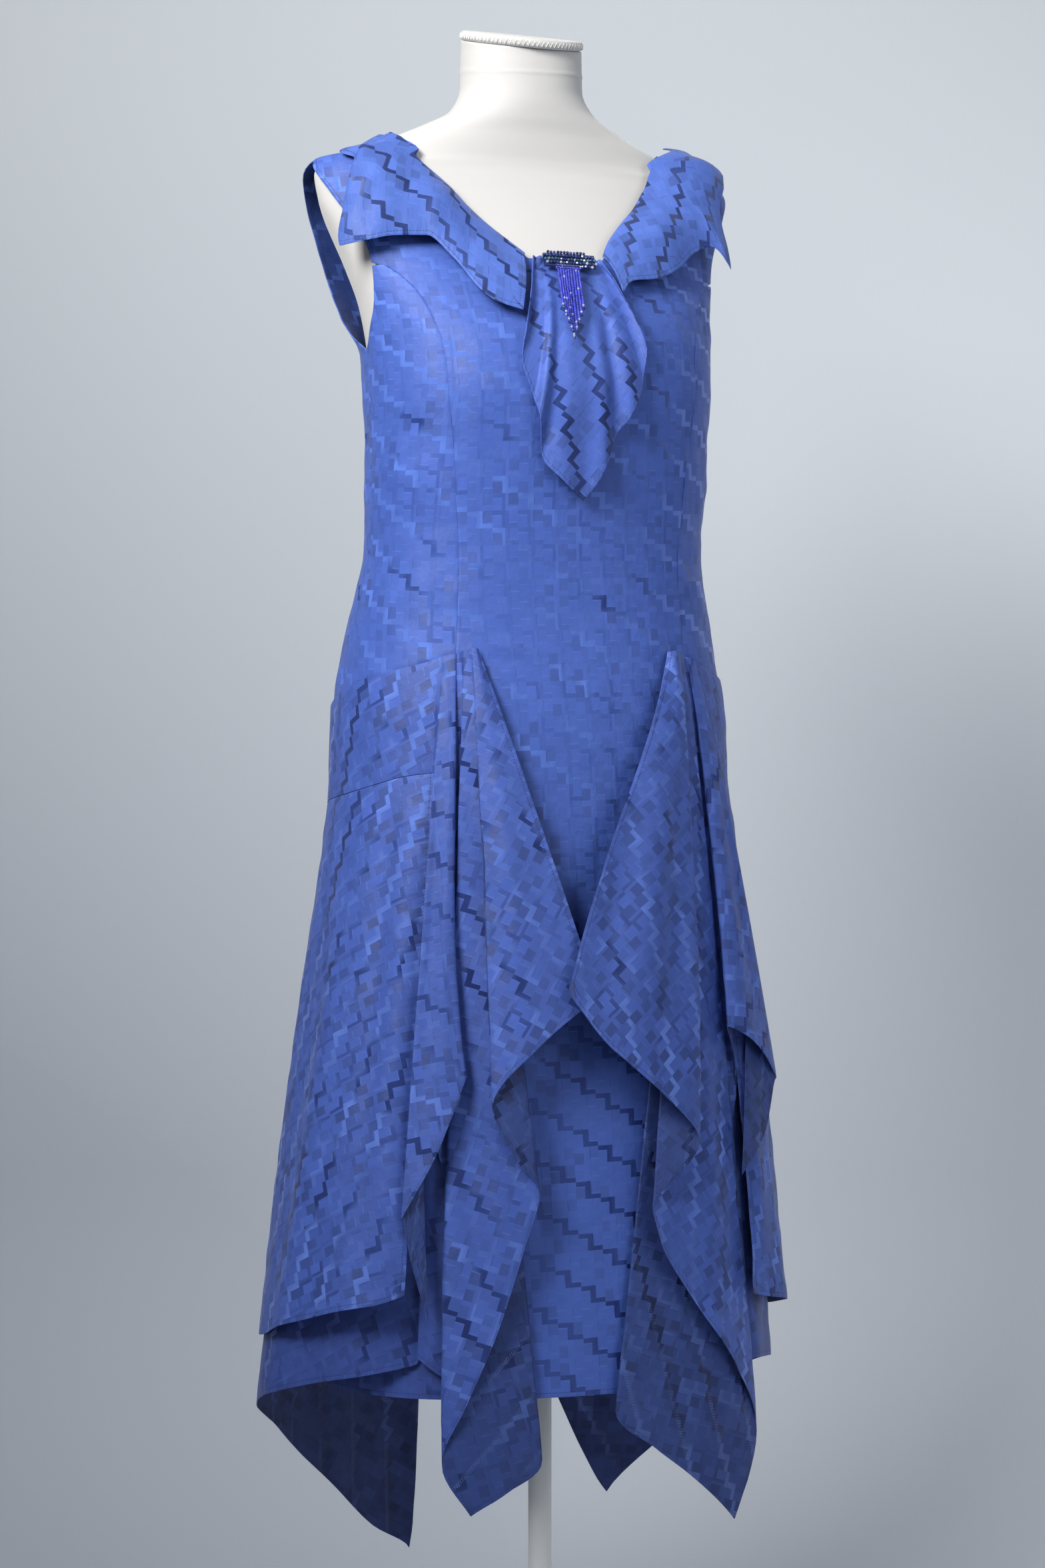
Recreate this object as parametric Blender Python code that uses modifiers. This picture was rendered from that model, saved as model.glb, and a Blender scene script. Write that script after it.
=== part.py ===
"""Sleeveless drop-waist flapper dress on a limbless dress form, real size in metres.

+Z is up and the front faces -Y, so the wearer's right side is at -X. The origin is the centre
of the stand's underside, on the pole's axis. Every cloth piece is laid out on one body surface:
angle 0 is the centre front, 90 the side seam and 180 the centre back, height is above the floor,
and lift is how far a layer stands off the surface, along its normal.
"""

import bisect
import math

import bmesh
import bpy
from mathutils import Vector

MM = 0.001
RIGHT = -1
LEFT = 1

# Cloth walls and the gaps between pieces
PANEL_WALL = 1.2 * MM
DRAPE_WALL = 1.0 * MM
SEAM_GAP = 0.3 * MM
SEAM_GAP_ANGLE = 0.08
SHOULDER_GAP_ANGLE = 0.5
FORM_INSET = 7.0 * MM
YOKE_LIFT = (2.0 * MM, 2.8 * MM)

# Levels that several pieces share
KNEE_HEM = 0.380
UNDERARM = 1.330
NECK_BOTTOM = 1.412
PRINCESS_TOP = 1.404
PRINCESS_HIP_ANGLE = 36.8
NECK_BOTTOM_ANGLE = 9.5
SHOULDER_TIP = 1.510
SHOULDER_NECK = 1.538
BACK_NECK = 1.512
SIDE_SEAM = 90.0
CENTRE_BACK = 180.0
TIER_CORNER_ANGLE = 41.2

# Rows of the close-fitting panels, as shares from one level to the next; joined panels share them
SKIRT_ROWS = (0.0, 0.17, 0.34, 0.50, 0.64, 0.76, 0.86, 0.94, 1.0)
BODICE_ROWS = 9
CHEST_ROWS = 3
SHOULDER_ROWS = 8
BACK_COLUMNS = 8

# Outer face of the close-fitting dress: a flattened oval at each height
ROUNDNESS = 2.2
BODY = (
    # height, half_width, front, back, side_y
    (0.150, 0.207, 0.134, 0.162, 0.013),
    (0.380, 0.205, 0.130, 0.160, 0.015),
    (0.600, 0.200, 0.122, 0.157, 0.018),
    (0.800, 0.194, 0.115, 0.155, 0.022),
    (0.940, 0.190, 0.110, 0.156, 0.026),
    (1.000, 0.188, 0.106, 0.155, 0.028),
    (1.050, 0.181, 0.100, 0.149, 0.028),
    (1.100, 0.171, 0.096, 0.139, 0.022),
    (1.150, 0.163, 0.097, 0.131, 0.014),
    (1.230, 0.1645, 0.106, 0.126, 0.006),
    (1.290, 0.167, 0.114, 0.126, 0.005),
    (1.330, 0.169, 0.108, 0.129, 0.008),
    (1.370, 0.174, 0.090, 0.133, 0.016),
    (1.410, 0.186, 0.062, 0.135, 0.028),
    (1.440, 0.198, 0.042, 0.133, 0.037),
    (1.470, 0.209, 0.025, 0.128, 0.045),
    (1.495, 0.213, 0.014, 0.119, 0.049),
    (1.510, 0.205, 0.009, 0.113, 0.050),
    (1.518, 0.178, 0.008, 0.110, 0.050),
    (1.538, 0.142, 0.008, 0.109, 0.050),
    (1.555, 0.104, 0.010, 0.107, 0.049),
    (1.571, 0.075, 0.011, 0.105, 0.047),
    (1.590, 0.065, 0.011, 0.105, 0.047),
    (1.650, 0.064, 0.011, 0.105, 0.047),
)

# Seams and edges on the body
PRINCESS_SEAM = (
    # height, angle
    (0.380, 36.0),
    (0.940, 36.5),
    (1.052, 36.8),
    (1.157, 40.5),
    (1.234, 43.0),
    (1.277, 45.0),
    (1.322, 46.0),
    (1.349, 48.0),
    (1.375, 51.0),
    (1.394, 56.0),
    (1.412, 66.0),
)
ARMHOLE_FRONT = (
    # height, angle
    (1.330, 90.0),
    (1.358, 80.0),
    (1.393, 70.0),
    (1.412, 66.0),
    (1.430, 64.5),
    (1.450, 66.0),
    (1.478, 72.0),
    (1.495, 79.0),
    (1.510, 90.0),
)
ARMHOLE_BACK = (
    # height, angle, gape
    (1.330, 90.0, 0.000),
    (1.345, 98.0, 0.006),
    (1.370, 106.0, 0.012),
    (1.410, 114.0, 0.015),
    (1.450, 116.0, 0.013),
    (1.480, 112.0, 0.009),
    (1.498, 102.0, 0.003),
    (1.510, 90.0, 0.000),
)
NECK_FRONT = (
    # height, angle
    (1.412, 9.5),
    (1.426, 13.0),
    (1.439, 16.5),
    (1.452, 19.5),
    (1.468, 22.0),
    (1.483, 25.0),
    (1.503, 31.5),
    (1.516, 38.4),
    (1.528, 54.0),
    (1.538, 90.0),
)
NECK_BACK = (
    # angle, height
    (90.0, 1.538),
    (110.0, 1.535),
    (135.0, 1.526),
    (160.0, 1.516),
    (180.0, 1.512),
)
HIP_SEAM = (
    # angle, height
    (0.0, 1.055),
    (29.0, 1.051),
    (38.0, 1.047),
    (48.0, 1.039),
    (60.0, 1.032),
    (74.0, 1.025),
    (92.0, 1.011),
    (104.0, 1.003),
    (130.0, 0.992),
    (180.0, 0.984),
)
SECOND_SEAM = (
    # angle, height
    (30.0, 0.943),
    (41.2, 0.940),
    (52.0, 0.937),
    (64.0, 0.930),
    (81.0, 0.921),
    (104.0, 0.913),
    (140.0, 0.904),
    (180.0, 0.900),
)

# Front overskirt: each row is one line of cloth from the hip seam to the hem, front edge first
CASCADE_RIGHT = (
    # line, seam_angle, seam_lift, sway, hem_angle, hem_lift, hem_height
    ("front_edge", 29.4, 3.5, 0.0, 1.9, 44.0, 0.737),
    ("front_hem", 30.2, 8.8, 0.0, 15.1, 45.0, 0.694),
    ("turn_1", 31.0, 9.0, 0.5, 25.7, 39.5, 0.642),
    ("under_1", 31.6, 8.3, 0.0, 19.5, 34.5, 0.592),
    ("turn_2", 32.2, 7.4, 0.0, 14.3, 30.0, 0.563),
    ("long_hem_a", 32.6, 6.7, 0.0, 17.8, 27.5, 0.516),
    ("long_hem_b", 33.0, 6.0, 0.0, 24.5, 26.0, 0.440),
    ("long_hem_c", 33.4, 5.4, 0.0, 32.0, 24.5, 0.378),
    ("turn_3", 33.8, 4.7, 1.0, 38.4, 21.5, 0.326),
    ("tip", 34.2, 4.0, 0.0, 31.0, 17.5, 0.280),
    ("under_3", 34.6, 3.3, 0.0, 21.5, 13.5, 0.300),
    ("turn_4", 35.1, 2.4, 0.0, 12.9, 9.0, 0.327),
    ("under_4", 35.7, 1.3, 0.0, 26.7, 5.5, 0.460),
    ("turn_5", 36.2, 1.0, 0.0, 41.0, 12.5, 0.619),
    ("turn_6", 36.9, 2.0, 3.5, 32.0, 28.0, 0.668),
    ("side_hem", 38.5, 2.3, 1.5, 39.0, 38.0, 0.601),
    ("turn_7", 40.6, 2.0, 0.0, 47.6, 43.0, 0.543),
)
CASCADE_LEFT = (
    # line, seam_angle, seam_lift, sway, hem_angle, hem_lift, hem_height
    ("front_edge", 27.4, 3.5, -2.0, -9.5, 58.0, 0.742),
    ("front_hem", 28.4, 7.5, -1.0, 1.2, 55.0, 0.684),
    ("front_hem_b", 29.3, 9.4, 0.0, 11.5, 50.0, 0.648),
    ("turn_1", 30.2, 9.0, 2.5, 22.1, 43.0, 0.603),
    ("under_1", 30.9, 8.3, 0.0, 15.3, 36.5, 0.570),
    ("turn_2", 31.6, 7.5, 0.0, 10.6, 33.0, 0.549),
    ("long_hem_a", 32.0, 6.9, 0.0, 13.0, 31.4, 0.512),
    ("long_hem_b", 32.4, 6.3, 0.0, 24.0, 30.8, 0.449),
    ("long_hem_c", 32.9, 5.7, 0.5, 36.5, 30.2, 0.396),
    ("turn_3", 33.4, 5.1, 1.0, 46.9, 28.0, 0.330),
    ("tip", 33.8, 4.4, 0.5, 37.0, 24.0, 0.255),
    ("under_3", 34.2, 3.8, 0.0, 22.5, 18.0, 0.302),
    ("under_3b", 34.6, 3.1, 0.0, 12.9, 13.5, 0.330),
    ("turn_4", 35.0, 2.4, 0.0, 3.5, 9.0, 0.366),
    ("under_4", 35.6, 1.3, 0.0, 24.0, 5.5, 0.470),
    ("turn_5", 36.2, 1.0, 0.0, 46.0, 17.5, 0.640),
    ("turn_6", 37.1, 2.0, 2.0, 37.0, 30.0, 0.705),
    ("side_hem", 38.5, 2.3, 1.0, 47.4, 38.0, 0.687),
    ("turn_7", 40.6, 2.0, 0.0, 59.5, 42.0, 0.652),
)
CASCADE_CORNERS = ("tip",)
TURN_HALF = 0.28                # the two lines that round off a turn, in steps of the tables above
RETURN_START = 0.12            # share of the return's width at its upper end
SEAM_CROWD = 2.0               # above 1, the rows lie closer together towards the gathered seam
# Return of the last fold, which shows only below the side hem
RETURN_RIGHT = (
    # line, hem_angle, hem_lift, hem_height
    ("turn_7", 47.6, 43.0, 0.543),
    ("fold", 47.3, 41.0, 0.540),
    ("return", 45.6, 38.0, 0.505),
    ("return_end", 41.4, 32.5, 0.452),
)
RETURN_LEFT = (
    # line, hem_angle, hem_lift, hem_height
    ("turn_7", 59.5, 42.0, 0.652),
    ("fold", 59.1, 40.0, 0.648),
    ("return", 54.0, 35.5, 0.606),
    ("return_end", 41.0, 31.0, 0.567),
)

# Outer flounce from the second seam, round to the centre back
TIER_RIGHT = (
    # line, seam_angle, seam_lift, sway, hem_angle, hem_lift, hem_height
    ("front_edge", 42.2, 4.2, 0.0, 47.2, 38.0, 0.475),
    ("crease_a", 46.0, 3.4, 0.0, 53.9, 48.0, 0.466),
    ("soft_a", 54.0, 2.8, 0.0, 62.0, 54.0, 0.460),
    ("crease_b", 64.0, 2.8, 0.0, 72.0, 52.0, 0.450),
    ("soft_b", 75.0, 2.8, 0.0, 83.0, 59.0, 0.438),
    ("side", 88.0, 2.8, 0.0, 96.0, 57.0, 0.422),
    ("crease_c", 100.0, 2.8, 0.0, 108.0, 56.0, 0.416),
    ("soft_c", 114.0, 2.8, 0.0, 120.0, 56.0, 0.412),
    ("crease_d", 128.0, 2.8, 0.0, 132.0, 42.0, 0.414),
    ("soft_d", 141.0, 2.8, 0.0, 144.0, 46.0, 0.416),
    ("crease_e", 154.0, 2.8, 0.0, 156.0, 36.0, 0.420),
    ("soft_e", 167.0, 2.8, 0.0, 168.0, 40.0, 0.422),
    ("centre_back", 179.9, 2.8, 0.0, 179.9, 36.0, 0.424),
)
TIER_LEFT = (
    # line, seam_angle, seam_lift, sway, hem_angle, hem_lift, hem_height
    ("front_edge", 42.2, 3.6, 5.0, 43.0, 35.0, 0.458),
    ("crease_a", 46.0, 3.2, 2.5, 49.0, 38.0, 0.453),
    ("soft_a", 54.0, 2.8, 0.0, 58.0, 45.0, 0.447),
    ("crease_b", 64.0, 2.8, 0.0, 67.0, 39.0, 0.442),
    ("soft_b", 75.0, 2.8, 0.0, 79.0, 44.0, 0.434),
    ("side", 88.0, 2.8, 0.0, 92.0, 40.0, 0.424),
    ("crease_c", 100.0, 2.8, 0.0, 104.0, 46.0, 0.418),
    ("soft_c", 114.0, 2.8, 0.0, 117.0, 46.0, 0.414),
    ("crease_d", 128.0, 2.8, 0.0, 130.0, 49.0, 0.414),
    ("soft_d", 141.0, 2.8, 0.0, 143.0, 38.0, 0.416),
    ("crease_e", 154.0, 2.8, 0.0, 155.0, 43.0, 0.420),
    ("soft_e", 167.0, 2.8, 0.0, 168.0, 34.0, 0.422),
    ("centre_back", 179.9, 2.8, 0.0, 179.9, 36.0, 0.424),
)

# Longer flounce under it: a narrow front fold, the side, and the handkerchief point at the back
UNDER_TIER_RIGHT = (
    # line, seam_angle, seam_lift, sway, hem_angle, hem_lift, hem_height
    ("inner_edge", 41.4, 0.9, 0.0, 31.5, 7.0, 0.392),
    ("strip_hem", 42.2, 1.0, 0.0, 39.0, 10.5, 0.402),
    ("strip_turn", 43.0, 1.0, 0.0, 45.6, 12.0, 0.417),
    ("strip_back", 43.8, 0.9, 0.0, 45.9, 7.5, 0.418),
    ("hollow", 44.8, 0.9, 0.0, 46.6, 3.5, 0.412),
    ("front", 50.0, 0.9, 0.0, 57.0, 15.0, 0.403),
    ("soft_a", 60.0, 0.9, 0.0, 67.0, 27.0, 0.396),
    ("crease_a", 72.0, 0.9, 0.0, 78.0, 32.0, 0.388),
    ("soft_b", 84.0, 0.9, 0.0, 90.0, 53.0, 0.374),
    ("side", 98.0, 0.9, 0.0, 104.0, 58.0, 0.353),
    ("crease_b", 112.0, 0.9, 0.0, 118.0, 46.0, 0.322),
    ("soft_c", 126.0, 0.9, 0.0, 132.0, 42.0, 0.284),
    ("crease_c", 139.0, 0.9, 0.0, 144.0, 31.0, 0.243),
    ("soft_d", 152.0, 0.9, 0.0, 155.0, 30.0, 0.205),
    ("tip", 163.0, 0.9, 0.0, 165.0, 24.0, 0.179),
    ("back_edge", 165.0, 0.9, 0.0, 166.2, 22.0, 0.232),
    ("back_edge_top", 167.5, 0.9, 0.0, 167.0, 20.0, 0.340),
)
UNDER_TIER_LEFT = (
    # line, seam_angle, seam_lift, sway, hem_angle, hem_lift, hem_height
    ("front", 41.4, 0.9, 0.0, 41.0, 16.0, 0.398),
    ("soft_a", 48.0, 0.9, 0.0, 50.0, 26.0, 0.396),
    ("crease_a", 58.0, 0.9, 0.0, 61.0, 22.0, 0.392),
    ("soft_b", 70.0, 0.9, 0.0, 73.0, 25.0, 0.386),
    ("side", 84.0, 0.9, 0.0, 88.0, 23.0, 0.374),
    ("crease_b", 98.0, 0.9, 0.0, 102.0, 29.0, 0.352),
    ("soft_c", 112.0, 0.9, 0.0, 115.0, 28.0, 0.318),
    ("crease_c", 126.0, 0.9, 0.0, 129.0, 31.0, 0.276),
    ("tip", 141.0, 0.9, 0.0, 144.5, 26.0, 0.222),
    ("back_edge", 152.0, 0.9, 0.0, 151.0, 23.0, 0.262),
    ("back_edge_top", 163.0, 0.9, 0.0, 158.5, 20.0, 0.322),
)
UNDER_TIER_CORNERS = ("tip",)

# Collar flaps: each row is one line across the collar, shoulder end first
COLLAR_RIGHT = (
    # line, neck_angle, neck_height, neck_lift, outer_angle, outer_height, outer_lift, swell
    ("shoulder", 68.0, 1.5345, 1.4, 66.0, 1.510, 5.0, 0.8),
    ("notch", 56.0, 1.529, 1.5, 55.5, 1.500, 8.0, 2.5),
    ("edge", 47.0, 1.522, 1.6, 63.0, 1.460, 17.0, 5.0),
    ("corner", 38.8, 1.516, 1.6, 71.2, 1.422, 26.0, 7.0),
    ("flap", 33.5, 1.506, 1.6, 60.0, 1.420, 24.0, 10.0),
    ("dip", 29.0, 1.493, 1.6, 49.4, 1.423, 17.0, 12.0),
    ("roll", 25.3, 1.482, 1.6, 39.3, 1.423, 14.0, 12.0),
    ("long_a", 21.5, 1.462, 1.6, 33.9, 1.402, 12.0, 9.0),
    ("long_b", 18.0, 1.445, 1.6, 30.2, 1.375, 13.0, 6.0),
    ("long_c", 13.5, 1.428, 1.6, 24.6, 1.358, 14.0, 5.0),
    ("centre", 10.2, 1.416, 1.6, 17.5, 1.352, 12.0, 5.0),
)
COLLAR_LEFT = (
    # line, neck_angle, neck_height, neck_lift, outer_angle, outer_height, outer_lift, swell
    ("shoulder", 88.0, 1.537, 9.0, 84.0, 1.521, 9.0, 6.0),
    ("turned_corner", 52.0, 1.528, 6.0, 60.0, 1.503, 17.0, 7.0),
    ("edge", 35.0, 1.517, 3.0, 51.8, 1.466, 23.0, 8.0),
    ("corner", 30.0, 1.508, 1.6, 56.8, 1.409, 30.0, 8.0),
    ("flap", 26.0, 1.490, 1.6, 48.7, 1.430, 22.0, 11.0),
    ("dip", 21.9, 1.470, 1.6, 42.3, 1.423, 17.0, 12.0),
    ("roll", 18.2, 1.456, 1.6, 35.3, 1.405, 13.0, 10.0),
    ("long_a", 15.0, 1.443, 1.6, 25.2, 1.391, 12.0, 7.0),
    ("long_b", 12.4, 1.431, 1.6, 16.3, 1.386, 12.0, 5.0),
    ("centre", 10.2, 1.417, 1.6, 12.0, 1.374, 12.0, 4.0),
)

# Jabot: each row is one fold line from the gathered top to the edge, wearer's right first
JABOT = (
    # line, top_angle, edge_angle, edge_height, edge_lift
    ("right_edge", -8.6, -17.5, 1.340, 15.0),
    ("fold_a", -7.6, -19.5, 1.310, 9.0),
    ("groove_a", -6.6, -16.3, 1.279, 6.0),
    ("ridge_a", -5.4, -14.6, 1.262, 14.0),
    ("groove_b", -4.0, -12.8, 1.226, 7.0),
    ("ridge_b", -2.4, -7.0, 1.206, 14.0),
    ("tip", -0.4, -0.8, 1.188, 11.0),
    ("ridge_c", 1.6, 3.6, 1.213, 15.0),
    ("groove_c", 3.4, 7.8, 1.247, 7.0),
    ("ridge_d", 5.0, 11.5, 1.268, 15.0),
    ("fold_b", 6.4, 16.2, 1.298, 8.0),
    ("left_fold", 7.6, 17.0, 1.322, 13.0),
    ("left_edge", 8.6, 12.5, 1.352, 17.0),
)
JABOT_CORNERS = ("tip",)
JABOT_TOP = 1.411
JABOT_TOP_LIFT = 4.0
JABOT_TOP_WAVE = 1.2

# Beaded ornament at the centre of the neckline
BROOCH_HEIGHT = 1.401
BROOCH_ANGLE = -0.6
BROOCH_LIFT = 13.0
BROOCH_SIZE = (0.053, 0.005, 0.016)
BROOCH_TILT = 26.0
STRING_COUNT = 9
STRING_SPACING = 2.5 * MM
STRING_RADIUS = 1.0 * MM
STRING_SHORT = 0.040
STRING_LONG = 0.064
STRING_TOP = 1.3905
STRING_TOP_LIFT = 17.0 * MM
STRING_END_LIFT = 19.0 * MM
STRING_ANGLE = -2.1
STRING_SWING = -2.6
STRIP_SIZE = (0.0235, 0.0028, 0.004)

# Dress form and stand
FORM_FOOT = 0.790
FORM_FOOT_ROUND = 0.030
# The shoulders of the form fall away behind their ridge
SHOULDER_FALL = 18.0 * MM
SHOULDER_FALL_RANGE = (1.450, 1.565)
NECK_TOP = 1.632
CAP_RADIUS = 0.0585
CAP_TILT = 15.0
NECK_FOOT = 1.572
CAP_THICK = 0.009
CAP_GAP = 0.4 * MM
POLE_RADIUS = 0.011
BASE_RADIUS = 0.190
BASE_THICK = 0.014
BASE_RISE = 0.010


def monotone(xs, ys):
    """A smooth curve through the points that never overshoots them."""
    count = len(xs)
    steps = [xs[i + 1] - xs[i] for i in range(count - 1)]
    slopes = [(ys[i + 1] - ys[i]) / steps[i] for i in range(count - 1)]
    tangents = [slopes[0]] + [0.0] * (count - 2) + [slopes[-1]]
    for i in range(1, count - 1):
        if slopes[i - 1] * slopes[i] > 0:
            first = 2 * steps[i] + steps[i - 1]
            second = steps[i] + 2 * steps[i - 1]
            tangents[i] = (first + second) / (first / slopes[i - 1] + second / slopes[i])

    def value(x):
        x = min(max(x, xs[0]), xs[-1])
        i = min(bisect.bisect_right(xs, x) - 1, count - 2)
        t = (x - xs[i]) / steps[i]
        return (
            (1 + 2 * t) * (1 - t) ** 2 * ys[i]
            + t * (1 - t) ** 2 * steps[i] * tangents[i]
            + t * t * (3 - 2 * t) * ys[i + 1]
            + t * t * (t - 1) * steps[i] * tangents[i + 1]
        )

    return value


def column(table, index, by=0):
    """One column of a table as a smooth curve over another column."""
    return monotone([row[by] for row in table], [row[index] for row in table])


def along_rows(rows, index, corners=()):
    """One column of a table of lines over the line's number, left sharp at the named corners."""
    last = len(rows) - 1
    breaks = [0] + [i for i in range(1, last) if rows[i][0] in corners] + [last]
    pieces = []
    for start, end in zip(breaks, breaks[1:]):
        numbers = list(range(start, end + 1))
        pieces.append(monotone(numbers, [rows[i][index] for i in numbers]))
    return lambda u: pieces[min(bisect.bisect_right(breaks, u) - 1, len(pieces) - 1)](u)


def mix(a, b, t):
    return a + (b - a) * t


half_width = column(BODY, 1)
front_depth = column(BODY, 2)
back_depth = column(BODY, 3)
side_line = column(BODY, 4)
princess_angle = column(PRINCESS_SEAM, 1)
armhole_front = column(ARMHOLE_FRONT, 1)
armhole_back = column(ARMHOLE_BACK, 1)
armhole_gape = column(ARMHOLE_BACK, 2)
neck_front = column(NECK_FRONT, 1)
neck_back = column(NECK_BACK, 1)
hip_seam = column(HIP_SEAM, 1)
second_seam = column(SECOND_SEAM, 1)


def oval(angle, height):
    """The point of the body's oval at this height."""
    sine = math.sin(math.radians(angle))
    cosine = math.cos(math.radians(angle))
    middle = side_line(height)
    depth = middle + front_depth(height) if cosine > 0 else back_depth(height) - middle
    power = 2 / ROUNDNESS
    x = half_width(height) * math.copysign(abs(sine) ** power, sine)
    y = middle - depth * math.copysign(abs(cosine) ** power, cosine)
    return Vector((x, y, height))


def on_body(angle, height, lift=0.0):
    """The point that stands off the body's surface by the lift."""
    turn = 0.5
    rise = 0.002
    lowest, highest = BODY[0][0], BODY[-1][0]
    across = oval(angle + turn, height) - oval(angle - turn, height)
    up = oval(angle, min(height + rise, highest)) - oval(angle, max(height - rise, lowest))
    return oval(angle, height) + across.cross(up).normalized() * lift


def clear_scene():
    for obj in list(bpy.data.objects):
        bpy.data.objects.remove(obj, do_unlink=True)


def make_material(name, colour, roughness, metallic=0.0):
    material = bpy.data.materials.new(name)
    material.use_nodes = True
    shader = material.node_tree.nodes["Principled BSDF"]
    shader.inputs["Base Color"].default_value = (*colour, 1.0)
    shader.inputs["Roughness"].default_value = roughness
    shader.inputs["Metallic"].default_value = metallic
    return material


def add_object(name, mesh, material, collection):
    obj = bpy.data.objects.new(name, mesh)
    mesh.materials.append(material)
    collection.objects.link(obj)
    return obj


def mesh_from(name, bm):
    mesh = bpy.data.meshes.new(name)
    bm.to_mesh(mesh)
    bm.free()
    mesh.shade_smooth()
    return mesh


def add_grid(bm, points, ring=False):
    """Faces between rows of points. A ring closes each row on itself."""
    rows = [[bm.verts.new(point) for point in row] for row in points]
    width = len(points[0])
    for low, high in zip(rows, rows[1:]):
        for i in range(width if ring else width - 1):
            after = (i + 1) % width
            bm.faces.new((low[i], low[after], high[after], high[i]))
    return rows


def add_cloth(name, patches, wall, inward, material, collection):
    """A sheet of cloth from grids that share edges, given its wall by Solidify."""
    bm = bmesh.new()
    for points in patches:
        add_grid(bm, points)
    bmesh.ops.remove_doubles(bm, verts=bm.verts, dist=0.02 * MM)
    bmesh.ops.recalc_face_normals(bm, faces=bm.faces)
    bm.normal_update()
    outward = sum(face.normal.dot(outward_at(face.calc_center_median())) for face in bm.faces)
    if outward < 0:
        bmesh.ops.reverse_faces(bm, faces=bm.faces)
    obj = add_object(name, mesh_from(name, bm), material, collection)
    solid = obj.modifiers.new("wall", "SOLIDIFY")
    solid.thickness = wall
    solid.offset = -1.0 if inward else 0.0
    return obj


def outward_at(point):
    return Vector((point.x, point.y - side_line(point.z), 0.0))


def coons(bottom, top, start, end, across, along):
    """A grid of (angle, height) pairs that fills four edges, each a function of 0 to 1."""
    grid = []
    for j in range(along + 1):
        v = j / along
        row = []
        for i in range(across + 1):
            u = i / across
            pair = []
            for k in range(2):
                ruled = mix(bottom(u)[k], top(u)[k], v) + mix(start(v)[k], end(v)[k], u)
                low = mix(bottom(0.0)[k], bottom(1.0)[k], u)
                high = mix(top(0.0)[k], top(1.0)[k], u)
                pair.append(ruled - mix(low, high, v))
            row.append(pair)
        grid.append(row)
    return grid


def laid(grid, side, lift_at=None):
    """The grid's pairs as points on one side of the body."""
    lift_at = lift_at or (lambda angle, height: 0.0)
    return [[on_body(side * a, z, lift_at(a, z)) for a, z in row] for row in grid]


def princess_levels():
    """Heights of the rows that the centre front shares with the panels beside it."""
    hip = hip_seam(PRINCESS_HIP_ANGLE)
    levels = [mix(KNEE_HEM, hip, share) for share in SKIRT_ROWS]
    levels += [mix(hip, UNDERARM, (j + 1) / BODICE_ROWS) for j in range(BODICE_ROWS)]
    levels += [mix(UNDERARM, PRINCESS_TOP, (j + 1) / CHEST_ROWS) for j in range(CHEST_ROWS)]
    return levels + [NECK_BOTTOM]


def front_centre(material, collection):
    """Centre front, with both shoulder straps, from the neckline to the knee hem."""
    across = 4
    middle = 4

    def outer(height):
        if height <= NECK_BOTTOM:
            return princess_angle(height) - SEAM_GAP_ANGLE
        return min(armhole_front(height) - SEAM_GAP_ANGLE, SIDE_SEAM - SHOULDER_GAP_ANGLE)

    def armhole(v):
        height = mix(NECK_BOTTOM, SHOULDER_TIP, v ** 0.8)
        return (outer(height), height)

    def neck(v):
        height = mix(NECK_BOTTOM, SHOULDER_NECK, v ** 0.8)
        return (min(neck_front(height), SIDE_SEAM - SHOULDER_GAP_ANGLE), height)

    def strap_foot(u):
        return (mix(outer(NECK_BOTTOM), NECK_BOTTOM_ANGLE, u), NECK_BOTTOM)

    def shoulder(u):
        return (SIDE_SEAM - SHOULDER_GAP_ANGLE, mix(SHOULDER_TIP, SHOULDER_NECK, u))

    side_strip = []
    centre_strip = []
    for height in princess_levels():
        edge = outer(height)
        side_strip.append([(mix(edge, NECK_BOTTOM_ANGLE, i / across), height) for i in range(across + 1)])
        inner = [mix(-NECK_BOTTOM_ANGLE, NECK_BOTTOM_ANGLE, i / middle) for i in range(middle + 1)]
        centre_strip.append([(angle, height) for angle in inner])
    strap = coons(strap_foot, shoulder, armhole, neck, across, SHOULDER_ROWS)
    patches = [laid(centre_strip, 1)]
    for side in (RIGHT, LEFT):
        patches += [laid(side_strip, side), laid(strap, side)]
    add_cloth("front_centre", patches, PANEL_WALL, True, material, collection)


def side_front(side, name, material, collection):
    """Side front, from the hip seam up to the armhole."""
    across = 4
    grid = []
    for j in range(BODICE_ROWS + CHEST_ROWS + 1):
        row = []
        for i in range(across + 1):
            u = i / across
            foot = hip_seam(mix(PRINCESS_HIP_ANGLE, SIDE_SEAM, u)) + SEAM_GAP / 2
            height = mix(foot, UNDERARM, min(j / BODICE_ROWS, 1.0))
            if j > BODICE_ROWS:
                height = mix(UNDERARM, PRINCESS_TOP, (j - BODICE_ROWS) / CHEST_ROWS)
            edge = min(armhole_front(max(height, UNDERARM)), SIDE_SEAM) - SEAM_GAP_ANGLE
            row.append((mix(princess_angle(height) + SEAM_GAP_ANGLE, edge, u), height))
        grid.append(row)
    add_cloth(name, [laid(grid, side)], PANEL_WALL, True, material, collection)


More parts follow.
